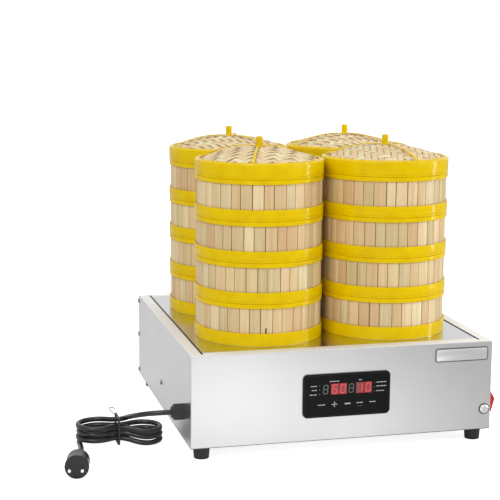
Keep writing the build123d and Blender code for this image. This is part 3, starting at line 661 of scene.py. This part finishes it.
def makeStaves(stave, values, turn):
    # each stave is a copy, fitted to its share of the circle and set a hair in or out
    copies = []
    angles = staveAngles(values, turn)
    radius, lean = values["staveRadius"], values["staveLean"]
    for start, stop in zip(angles, angles[1:]):
        half = (stop - start) / 2
        width = 2 * radius * math.sin(half) - tones.choice(values["staveGaps"]) * mm
        inward = radius * math.cos(half) - radius - tones.uniform(0, values["staveIn"])
        matrix = (
            Matrix.Rotation((start + stop) / 2, 4, "Z")
            @ Matrix.Translation((inward, 0, 0))
            @ turnedBy(tones.uniform(-lean, lean), "X")
            @ Matrix.Diagonal((1, width / values["staveWide"], 1, 1))
        )
        piece = copied(stave, "stave", matrix)
        markTone(piece, (tones.random(), tones.uniform(0, 9), tones.uniform(0, 9)))
        copies.append(piece)
    return joined(copies, "staves")


def makeFloor(values):
    # the bent support hoop, two cross bars and a row of laths
    inner, outer, low, top = values["floorHoop"]
    fit = values["floorFit"]
    hoop = spun("innerHoop", ringOutline(*values["hoop"]), 0.4 * mm)
    rest = spun("supportHoop", ringOutline(inner, outer, low, top), 0.3 * mm)
    for piece in (hoop, rest):
        markTone(piece, (0.55, 2, 3))
    pieces = [hoop, rest]
    middle, half, tall = values["crossBar"]
    reach = math.sqrt((inner - fit) ** 2 - (middle + half) ** 2)
    for side in (-1, 1):
        corners = (-reach, side * middle - half, top - tall), (reach, side * middle + half, top)
        cross = bar("crossBar", *corners, 0.5 * mm)
        markTone(cross, (0.3, side, 4))
        pieces.append(cross)
    width, pitch, thick = values["lath"]
    lath = bar("lath", (-width / 2, -0.5, top), (width / 2, 0.5, top + thick), 0.4 * mm)  # a metre long
    count = int((outer - width / 2) / pitch)
    for i in range(-count, count + 1):
        edge = abs(i) * pitch + width / 2
        half = math.sqrt((outer - fit) ** 2 - edge**2)
        piece = copied(lath, "lath", Matrix.Translation((i * pitch, 0, 0)) @ Matrix.Diagonal((1, 2 * half, 1, 1)))
        markTone(piece, (tones.random(), i, 1))
        pieces.append(piece)
    remove(lath)
    floor = joined(pieces, "basketFloor")
    wrapUv(floor)
    return floor


bands = {lowest: makeBands(basketValues, lowest) for lowest in (True, False)}
stave = makeStave(basketValues)
floor = makeFloor(basketValues)
for number, (stack, (x, y)) in enumerate(stacks.items()):
    for tier in range(1, tiers + 1):
        name = f"basket_{stack}{tier}"
        place = Matrix.Translation((x, y, stackZ + (tier - 1) * basketValues["height"]))
        turn = 1.7 * tier + 0.9 * number
        wall = makeStaves(stave, basketValues, turn)
        wall.data.transform(place)
        wall.name = f"{name}_staves"
        dress(wall, "staves", "bamboo", name, f"{name}_bamboo")
        dress(copied(floor, f"{name}_floor", place @ Matrix.Rotation(turn, 4, "Z")), "hoop", "bamboo", name)
        around = copied(bands[tier == 1], f"{name}_rings", place)
        dress(around, "yellow", "yellow_plastic", name, f"{name}_bands")
remove(*bands.values(), stave, floor)

# Notch: a near-black piece at the foot of one stave at the front, painted shade for the small gap there
notchValues = {
    "angle": -97.5,
    "half": 1.3 * mm,
    "face": basketValues["staveRadius"] - 0.45 * mm,
    "deep": 1.2 * mm,
    "low": basketValues["bottomBand"] - 1.7 * mm,
    "high": basketValues["bottomBand"] + 8.6 * mm,
}


def addNotch(values):
    face, half = values["face"], values["half"]
    corners = (face - values["deep"], -half, values["low"]), (face, half, values["high"])
    notch = bar("staveNotch", *corners, 0.3 * mm)
    markTone(notch, (0.5, 3, 1))
    notch.data.transform(Matrix.Translation((*stacks["a"], stackZ)) @ turnedBy(values["angle"]))
    dress(notch, "notchShade", "bamboo", "basket_a1")


addNotch(notchValues)
print("baskets stacked")


# Lids
lidValues = {
    "outer": 105 * mm,
    "inner": 103.2 * mm,
    "rim": 25 * mm,
    "flange": 1.6 * mm,
    "flangeInner": 96.5 * mm,
    "bead": (3 * mm, 1.2 * mm),
    "rise": 18 * mm,
    "weaveEdge": 100.5 * mm,
    "edgeDrop": 2 * mm,
    "strip": (9.7 * mm, 10.6 * mm, 0.7 * mm),
    "overlap": 0.7 * mm,
    "weaveDown": 0.9 * mm,
    "crown": 0.25 * mm,
    "lining": (2.1 * mm, 2.9 * mm),  # its upper and lower side under the dome
    "hoop": (98.4 * mm, 103 * mm, 0.2 * mm, 18.6 * mm),
    "strap": (4 * mm, 1.4 * mm),
    "strapClear": 3.4 * mm,
    "handle": (5.4 * mm, 16.5 * mm),
    "handleHole": 2.5 * mm,
}
lidTurns = {"a": -110, "b": -78, "c": -55, "d": -50}
domeLow = lidValues["rim"] - lidValues["edgeDrop"]
domeHigh = lidValues["rim"] + lidValues["rise"]
domeSphere = (lidValues["flangeInner"] ** 2 + (domeHigh - domeLow) ** 2) / (2 * (domeHigh - domeLow))


def domeZ(radius):
    return domeHigh - domeSphere + math.sqrt(domeSphere**2 - radius**2)


def makeStrip(values, family, i):
    # one strip of the weave, over two and under two of those that it crosses
    width, pitch, thick = values["strip"]
    reach, overlap = values["weaveEdge"], values["overlap"]
    across = i * pitch + tones.uniform(-0.3, 0.3) * mm
    half = math.sqrt(reach**2 - min(abs(across) + width / 2, reach * 0.995) ** 2)
    steps = max(4, int(2 * half / (pitch / 3)))
    bpy.ops.mesh.primitive_grid_add(x_subdivisions=steps, y_subdivisions=2, size=1)
    strip = bpy.context.object
    strip.data.transform(Matrix.Diagonal((2 * half, width * tones.uniform(0.9, 1.03), 1, 1)))
    skew = tones.uniform(-0.004, 0.004)
    layer = strip.data.uv_layers.active
    layer.name = "wrap"
    for loop in strip.data.loops:
        point = strip.data.vertices[loop.vertex_index].co
        layer.data[loop.index].uv = (point.x, point.y)
    for vertex in strip.data.vertices:
        along, side = vertex.co.x, vertex.co.y + across + skew * vertex.co.x
        low = math.floor(along / pitch)
        share = along / pitch - low
        share = share * share * (3 - 2 * share)
        over = [((i + j) % 4 < 2) == (family == 0) for j in (low, low + 1)]
        levels = [overlap if above else -overlap for above in over]
        wave = levels[0] + (levels[1] - levels[0]) * share
        crown = values["crown"] if abs(vertex.co.y) < 0.3 * width else 0
        x, y = (along, side) if family == 0 else (side, along)
        dome = domeZ(min(math.hypot(x, y), reach + 1 * mm))
        vertex.co = (x, y, dome - values["weaveDown"] + wave + crown)
    only(strip)
    solid = strip.modifiers.new("thickness", "SOLIDIFY")
    solid.thickness = thick
    solid.offset = -1
    bpy.ops.object.modifier_apply(modifier=solid.name)
    markTone(strip, (tones.random(), tones.uniform(0, 9), tones.uniform(0, 9)))
    bpy.ops.object.mode_set(mode="EDIT")
    faceOutward()
    smooth(strip, 50)
    return strip


def makeWeave(values):
    # two families of strips, crossing on a shallow dome
    count = int(values["weaveEdge"] / values["strip"][1])
    strips = [makeStrip(values, family, i) for family in (0, 1) for i in range(-count, count + 1)]
    return joined(strips, "weave")


def makeLining(values):
    # the inner layer of the dome under the weave, and the hoop that carries both
    reach, (upper, lower) = values["weaveEdge"], values["lining"]
    radii = [reach * i / 8 for i in range(9)]
    top = [(radius, domeZ(radius) - upper) for radius in radii]
    low = [(radius, domeZ(radius) - lower) for radius in reversed(radii)]
    dome = spun("lidLining", top + low, 0, 64)
    hoop = spun("lidHoop", ringOutline(*values["hoop"]), 0.4 * mm, 80)
    for piece in (dome, hoop):
        markTone(piece, (0.1, 5, 2))
        wrapUv(piece)
    return joined([dome, hoop], "lining")


def dressLining(piece, body, level):
    # the side under the weave is painted dark as the shade there, and the inside of the lid plain bamboo
    dress(piece, "hoop", "bamboo_weave", body)
    piece.data.materials.append(finish["lining"])
    for face in piece.data.polygons:
        face.material_index = 1 if face.normal.z > 0.5 and face.center.z > level else 0


def makeRim(values):
    outer, inner, flange = values["outer"], values["inner"], values["flangeInner"]
    high, (beadWide, beadHigh) = values["rim"], values["bead"]
    under = high - values["flange"]
    rim = spun("lidRim", [
        (inner, 0), *bandFoot(outer, basketValues["grooveUp"], basketValues["grooveDeep"]),
        (outer, high - 2.2 * mm), (outer - 0.7 * mm, high - 0.7 * mm), (outer - 2.2 * mm, high),
        (flange + beadWide, high - 0.3 * mm), (flange + beadWide - 0.4 * mm, high + beadHigh * 0.8),
        (flange + beadWide / 2, high + beadHigh), (flange + 0.4 * mm, high + beadHigh * 0.6),
        (flange, high - 0.4 * mm), (flange, under), (inner, under), (inner, 0),
    ], 0.3 * mm, 128)
    radius, length = values["handle"]
    collar, top, hole = radius + 0.9 * mm, domeHigh + length, values["handleHole"]
    handle = spun("lidHandle", [
        (0, domeHigh - 1.0 * mm), (collar, domeHigh - 0.6 * mm), (collar, domeHigh + 1.2 * mm),
        (radius, domeHigh + 2 * mm), (radius * 0.96, domeHigh + length * 0.5), (radius, top - 1.4 * mm),
        (radius - 0.5 * mm, top), (hole + 0.1 * mm, top), (hole, top - 2 * mm), (0, top - 2 * mm),
    ], 0.35 * mm, 40)
    return [rim, handle]


def makeStrap(values):
    # a flat strap bent from the handle's foot over the weave to the rim's bead
    width, thick = values["strap"]
    start = values["handle"][0] - 0.6 * mm
    end = values["flangeInner"] + values["bead"][0] - 0.4 * mm
    strap = block("strap", ((start + end) / 2, 0, 0), (end - start, width, thick))
    pickEdges(strap, lambda run: abs(run.x) > 10 * mm)
    bpy.ops.mesh.subdivide(number_cuts=22)
    bpy.ops.object.mode_set(mode="OBJECT")
    firstZ, lastZ = domeHigh + 0.9 * mm, values["rim"] + values["bead"][1] + 0.6 * mm
    middle = values["flangeInner"] * 0.55
    crest = domeZ(middle) + values["strapClear"] + thick / 2
    for vertex in strap.data.vertices:
        # a parabola through the start, the crest and the end, wider where it meets the bead
        x = vertex.co.x
        atStart = firstZ * (x - middle) * (x - end) / ((start - middle) * (start - end))
        atCrest = crest * (x - start) * (x - end) / ((middle - start) * (middle - end))
        atEnd = lastZ * (x - start) * (x - middle) / ((end - start) * (end - middle))
        vertex.co.z += atStart + atCrest + atEnd
        vertex.co.y *= 1 + 0.35 * max(0, (x - 0.85 * end) / (0.15 * end))
    roundEdges(strap, 0.45 * mm, 2, 50)
    smooth(strap, 50)
    return strap


weave = makeWeave(lidValues)
lining = makeLining(lidValues)
rim = makeRim(lidValues)
strap = makeStrap(lidValues)
straps = 3
for number, (stack, (x, y)) in enumerate(stacks.items()):
    place = Matrix.Translation((x, y, stackZ + tiers * basketValues["height"]))
    name = f"lid_{stack}"
    top = copied(weave, f"{name}_strips", place @ turnedBy(lidTurns[stack] + 45 + 17 * number))
    dress(top, "weave", "bamboo_weave", name, f"{name}_weave")
    dressLining(copied(lining, f"{name}_lining", place), name, place.translation.z + 18.8 * mm)
    frameParts = [copied(part, "rimPart", Matrix.Identity(4)) for part in rim]
    for i in range(straps):
        frameParts.append(copied(strap, "strapPart", turnedBy(lidTurns[stack] + 360 / straps * i)))
    around = joined(frameParts, f"{name}_rim")
    around.data.transform(place)
    dress(around, "yellow", "yellow_plastic", name, f"{name}_frame")
remove(weave, lining, *rim, strap)
print("lids laid on")


# Control panel: printed outline, display digits, labels, lamps and touch keys.
# Places on it are in mm from its upper left corner
panelValues = {
    "left": midX - 70.5 * mm,
    "top": baseZ + 108.5 * mm,
    "face": frontY - 2 * mm,
    "size": (145 * mm, 70.5 * mm),
    "outlineIn": 2 * mm,
    "outlineCorner": 6 * mm,
    "digits": (37.3, 52.5, 66.0, 79.8, 94.2, 107.8),
    "digitMiddle": 25.2,
    "shown": " 60 10",
    "digitSize": (8.8 * mm, 15.2 * mm),
    "glowSize": (12.6 * mm, 17.6 * mm),
    "stroke": 1.7 * mm,
    "slant": 0.07,
    "labels": (  # middle, down, width
        (17.6, 19.0, 10.6), (18.4, 25.6, 8.8), (16.8, 32.9, 12.2),  # at the left
        (130, 18.0, 17), (130, 24.4, 17), (128.2, 32.2, 13.6),  # at the right
        (51.6, 12.6, 16.5), (94.5, 12.3, 5.8),  # above the displays
        (30.5, 50.1, 13), (94.2, 49.7, 11.2), (115.4, 49.6, 11.2),  # touch keys
    ),
    "dash": (5, 0.7, 1.35),  # about how far apart, the gap and the height
    "plus": (52.2, 50.1, 9 * mm, 1.3 * mm),
    "minus": (74, 50.1, 9.4 * mm, 2.2 * mm),
    "lamps": [(x, down) for x in (27.2, 118.6) for down in (18.6, 25.2, 32.4)],
    "arrow": (94.2, 55),
}
segmentsOf = {" ": "", "0": "abcdef", "1": "bc", "6": "acdefg"}


def onPanel(x, down, out=0.0):
    return Vector((panelValues["left"] + x * mm, panelValues["face"] - out, panelValues["top"] - down * mm))


def printed(name, x, down, width, height, proud=0.12 * mm):
    # a thin printed bar with its middle at a place on the panel
    middle = onPanel(x, down)
    low = (middle.x - width / 2, middle.y - proud, middle.z - height / 2)
    high = (middle.x + width / 2, middle.y + 0.05 * mm, middle.z + height / 2)
    return bar(name, low, high, min(proud, height) * 0.4, 1)


def makeSegment(length, stroke):
    # a bar with pointed ends, lying along X on the panel's face
    piece = block("segment", (0, 0, 0), (length, 0.2 * mm, stroke))
    pickEdges(piece, lambda run: abs(run.y) > 0.1 * mm)
    bpy.ops.mesh.bevel(offset=stroke * 0.48, segments=1)
    bpy.ops.object.mode_set(mode="OBJECT")
    return piece


def addDigits(values):
    width, height = values["digitSize"]
    stroke = values["stroke"]
    flat = makeSegment(width - stroke * 1.25, stroke)
    tall = makeSegment(height / 2 - stroke * 0.75, stroke)
    upright = turnedBy(90, "Y")
    side, end, quarter = width / 2 - stroke / 2, height / 2 - stroke / 2, height / 4 - stroke / 4
    spots = {
        "a": (flat, 0, end), "g": (flat, 0, 0), "d": (flat, 0, -end),
        "f": (tall, -side, quarter), "b": (tall, side, quarter),
        "e": (tall, -side, -quarter), "c": (tall, side, -quarter),
    }
    slant = Matrix(((1, 0, values["slant"], 0), (0, 1, 0, 0), (0, 0, 1, 0), (0, 0, 0, 1)))
    lit, unlit, glows = [], [], []
    for x, shown in zip(values["digits"], values["shown"]):
        middle = Matrix.Translation(onPanel(x, values["digitMiddle"], 0.14 * mm))
        for letter, (kind, along, up) in spots.items():
            turned = upright if kind is tall else Matrix.Identity(4)
            piece = copied(kind, "segment", middle @ slant @ Matrix.Translation((along, 0, up)) @ turned)
            (lit if letter in segmentsOf[shown] else unlit).append(piece)
        if shown != " ":
            glows.append(printed("glow", x, values["digitMiddle"], *values["glowSize"], 0.05 * mm))
    remove(flat, tall)
    for kind, pieces in {"lit": lit, "unlit": unlit, "glow": glows}.items():
        dress(joined(pieces, f"display{kind.capitalize()}"), kind, "panel_black", "steam_base")


def addPrint(values):
    marks = []
    apart, gap, tall = values["dash"]
    for x, down, width in values["labels"]:
        dashes = max(1, round(width / apart))  # each label is a few plain dashes
        each = width / dashes
        for i in range(dashes):
            middle = x - width / 2 + each * (i + 0.5)
            marks.append(printed("dash", middle, down, (each - gap) * mm, tall * mm))
    x, down, length, stroke = values["plus"]
    marks.append(printed("plusAcross", x, down, length, stroke))
    marks.append(printed("plusUp", x, down, stroke, length))
    marks.append(printed("minus", *values["minus"]))
    dress(joined(marks, "panelPrint"), "print", "panel_black", "steam_base")


def addLamps(values):
    lamps = []
    for x, down in values["lamps"]:
        place = {"location": onPanel(x, down), "rotation": (math.pi / 2, 0, 0)}
        bpy.ops.mesh.primitive_cylinder_add(vertices=20, radius=0.9 * mm, depth=0.3 * mm, **place)
        lamp = called("lamp")
        roundEdges(lamp, 0.1 * mm, 2)
        smooth(lamp)
        lamps.append(lamp)
    x, down = values["arrow"]
    for side in (-1, 1):  # a small arrowhead under the fourth key
        stroke = printed("arrow", 0, 0, 5.4 * mm, 0.55 * mm)
        stroke.data.transform(Matrix.Translation(-onPanel(0, 0)))
        stroke.data.transform(turnedBy(side * -28, "Y"))
        stroke.data.transform(Matrix.Translation(onPanel(x + side * 2.2, down)))
        lamps.append(stroke)
    dress(joined(lamps, "panelLamps"), "unlit", "panel_black", "steam_base")


def addOutline(values):
    # a fine printed line just inside the panel's edge
    width, height = values["size"]
    inset = 2 * values["outlineIn"]
    bpy.ops.mesh.primitive_plane_add(size=1)
    line = called("panelOutline")
    line.data.transform(Matrix.Diagonal((width - inset, height - inset, 1, 1)))
    middle = Matrix.Translation(onPanel(width / 2 / mm, height / 2 / mm, 0.02 * mm))
    line.data.transform(middle @ turnedBy(90, "X"))
    bpy.ops.object.mode_set(mode="EDIT")
    bpy.ops.mesh.select_all(action="SELECT")
    bpy.ops.mesh.bevel(offset=values["outlineCorner"], segments=8, affect="VERTICES")
    bpy.ops.mesh.select_all(action="SELECT")
    bpy.ops.mesh.inset(thickness=0.35 * mm)
    bpy.ops.mesh.delete(type="FACE")
    bpy.ops.mesh.select_all(action="SELECT")
    bpy.ops.mesh.extrude_region_move(TRANSFORM_OT_translate={"value": (0, -0.06 * mm, 0)})
    faceOutward()
    dress(line, "outline", "panel_black", "steam_base")


addDigits(panelValues)
addPrint(panelValues)
addLamps(panelValues)
addOutline(panelValues)
print("panel printed")


# Feet: tapered rubber with a recess for the screw
footValues = {
    "radii": (12 * mm, 13.5 * mm),  # on the ground and under the base
    "height": 20 * mm,
    "recess": (5.2 * mm, 12 * mm),
    "hole": 2.1 * mm,
    "apart": (228.5 * mm, 218 * mm),  # from the cabinet's middle
}


def addFeet(values):
    low, high = values["radii"]
    height, hole = values["height"], values["hole"]
    recess, deep = values["recess"]
    foot = spun("foot", [
        (recess, 0), (low, 0), (high, height), (hole, height), (hole, deep), (recess, deep), (recess, 0),
    ], 0.7 * mm, 64)
    apartX, apartY = values["apart"]
    places = [(midX + sideX * apartX, midY + sideY * apartY, 0) for sideX in (-1, 1) for sideY in (-1, 1)]
    feet = [copied(foot, "foot", Matrix.Translation(place)) for place in places]
    remove(foot)
    dress(joined(feet, "rubberFeet"), "rubber", "foot_rubber", "steam_base", "feet")


addFeet(footValues)
print("feet fitted")


# Badge: the bare face in its rim
badgeValues = {
    "middle": (midX + 196.5 * mm, frontY - 1.1 * mm, baseZ + 127.5 * mm),
    "size": (87 * mm, 0.5 * mm, 19 * mm),
    "corner": 2.6 * mm,
}


def addBadgeFace(values):
    face = block("badgeFace", values["middle"], values["size"])
    pickEdges(face, lambda run: abs(run.x) < 1e-6 and abs(run.z) < 1e-6)
    bpy.ops.mesh.bevel(offset=values["corner"], segments=6)
    bpy.ops.object.mode_set(mode="OBJECT")
    roundEdges(face, 0.15 * mm, 2)
    smooth(face)
    dress(face, "badgeFace", "badge_silver", "steam_base")


# Drain plug: its rubber washer
washerValues = {"ring": (7.3 * mm, 9 * mm, 0, 0.9 * mm), "middle": (midX + 238.5 * mm, frontY, baseZ + 34 * mm)}


def addWasher(values):
    washer = spun("drainWasher", ringOutline(*values["ring"]), 0.25 * mm, 48)
    washer.data.transform(Matrix.Translation(values["middle"]) @ turnedBy(90, "X"))
    dress(washer, "rubber", "foot_rubber", "steam_base")


# Slit shade: a black strip in the slit at each side of the deck plate, painted shade for the dark gap there, its
# outer edge lying on the lip
slitShadeValues = {
    "middle": 229.3 * mm,
    "inward": 1.15 * mm,
    "outward": 1.85 * mm,
    "half": 229.5 * mm,
    "down": 1 * mm,
    "up": 0.6 * mm,
}


def addSlitShades(values):
    slitShades = []
    for side in (-1, 1):
        middle = midX + side * values["middle"]
        edges = sorted((middle - side * values["inward"], middle + side * values["outward"]))
        low = (edges[0], midY - values["half"], deckZ - values["down"])
        high = (edges[1], midY + values["half"], deckZ + values["up"])
        slitShades.append(bar("slitShadeBar", low, high, 0.25 * mm))
    dress(joined(slitShades, "slitShadeStrips"), "rubber", "foot_rubber", "steam_base")


addBadgeFace(badgeValues)
addWasher(washerValues)
addSlitShades(slitShadeValues)
print("badge, washer and seals added")

# CAD nodes that keep their shape get their finishes
keptFinish = {
    "steel": ("cabinet_shell", "back_panel"),
    "inner": ("bottom_plate", "water_tank"),
    "deck": ("deck_plate",),
    "screw": ("screws",),
    "chrome": ("heating_element", "level_probe", "drain_fitting"),
    "acrylic": ("control_fascia",),
    "board": ("control_board",),
    "badge": ("badge_plate",),
    "bezel": ("switch_housing",),
    "rocker": ("switch_rocker",),
}
for kind, kept in keptFinish.items():
    for name in kept:
        giveFinish(nodes[name], kind)
print("finishes given to the kept nodes")


# Studio: a white floor and plain lamps
studioValues = {
    "floor": 60,
    "paper": "#E6E6E6",
    "shadedPaperInMirrors": "#A4A4A4",  # painted shade at the right, seen only where metal mirrors it
    "mirrorShadeFrom": (0.02, 0.3),
    "poolShift": [0.18, 1.06, 0],  # brings its middle to x -0.10 m, y -0.58 m
    "poolScale": [1.82, 1.82, 1.82],
    "poolLight": (0.1, 0.84),
    "seenLight": 0.78,
    "worldLight": (0.55, 1.0),
    "aim": (0, 0, 0.2),
    "lamps": {
        "key": ((-1.6, -2.2, 2.4), (1.6, 1.2), 42),
        "fill": ((2.4, -1.8, 1.5), (1.4, 1.4), 16),
        "top": ((0.2, 0.6, 2.6), (1.8, 1.8), 18),
        "strip": ((1.35, -0.35, 0.48), (0.1, 0.9), 5),  # narrow, for the sharp streaks on the yellow bands
    },
}


def whiteWhereSeen(made, path, inMetal):
    # the camera and mirror-like surfaces see white, while the light on the object stays as it is
    mirrored = maths(made, "MULTIPLY", (path, "Is Glossy Ray"), inMetal)
    first = maths(made, "MAXIMUM", (path, "Is Camera Ray"), mirrored)
    return maths(made, "MAXIMUM", first, (path, "Is Transmission Ray"))


def addFloor(values):
    bpy.ops.mesh.primitive_plane_add(size=values["floor"], location=(0, 0, 0))
    floor = bpy.context.object
    floor.name = "floor"
    made, surface = newMaterial("whitePaper", Roughness=0.9)
    path = addNode(made, "ShaderNodeLightPath")
    place = coordinate(made, "Object")
    # a pool of light in front of the left half: sheet metal mirrors it and goes from pale to grey
    inputs = {"Location": values["poolShift"], "Scale": values["poolScale"], "Vector": place}
    moved = addNode(made, "ShaderNodeMapping", inputs)
    pool = addNode(made, "ShaderNodeTexGradient", {"Vector": (moved, "Vector")}, gradient_type="SPHERICAL")
    lit = ranged(made, (pool, "Fac"), after=values["poolLight"])
    seen = {0: (path, "Is Camera Ray"), 2: lit, 3: values["seenLight"]}
    direct = addNode(made, "ShaderNodeMix", seen, data_type="FLOAT")
    strength = maths(made, "MULTIPLY", whiteWhereSeen(made, path, 1.0), (direct, 0))
    # painted shade on the paper at the right, seen only by glossy rays
    right = ranged(made, axis(made, place, "X"), values["mirrorShadeFrom"])
    grey = maths(made, "MULTIPLY", right, (path, "Is Glossy Ray"))
    feed(made, surface, "Base Color", mixed(made, grey, values["paper"], values["shadedPaperInMirrors"]))
    feed(made, surface, "Emission Color", "#FFFFFF")
    feed(made, surface, "Emission Strength", strength)
    floor.data.materials.append(made)


def addWorld(values):
    world = bpy.data.worlds.new("studio")
    world.use_nodes = True
    scene.world = world
    background = world.node_tree.nodes["Background"]
    seen = whiteWhereSeen(world, addNode(world, "ShaderNodeLightPath"), 0.8)
    feed(world, background, "Color", "#FFFFFF")
    feed(world, background, "Strength", ranged(world, seen, after=values["worldLight"]))


def addStudioLamps(values):
    for name, (place, size, power) in values["lamps"].items():
        bpy.ops.object.light_add(type="AREA", location=place)
        lamp = bpy.context.object
        lamp.name = name
        lamp.data.shape = "RECTANGLE"
        lamp.data.size, lamp.data.size_y = size
        lamp.data.energy = power
        aim = Vector(values["aim"]) - Vector(place)
        lamp.rotation_euler = aim.to_track_quat("-Z", "Y").to_euler()


addFloor(studioValues)
addWorld(studioValues)
addStudioLamps(studioValues)
print("studio lit")

bpy.context.view_layer.update()
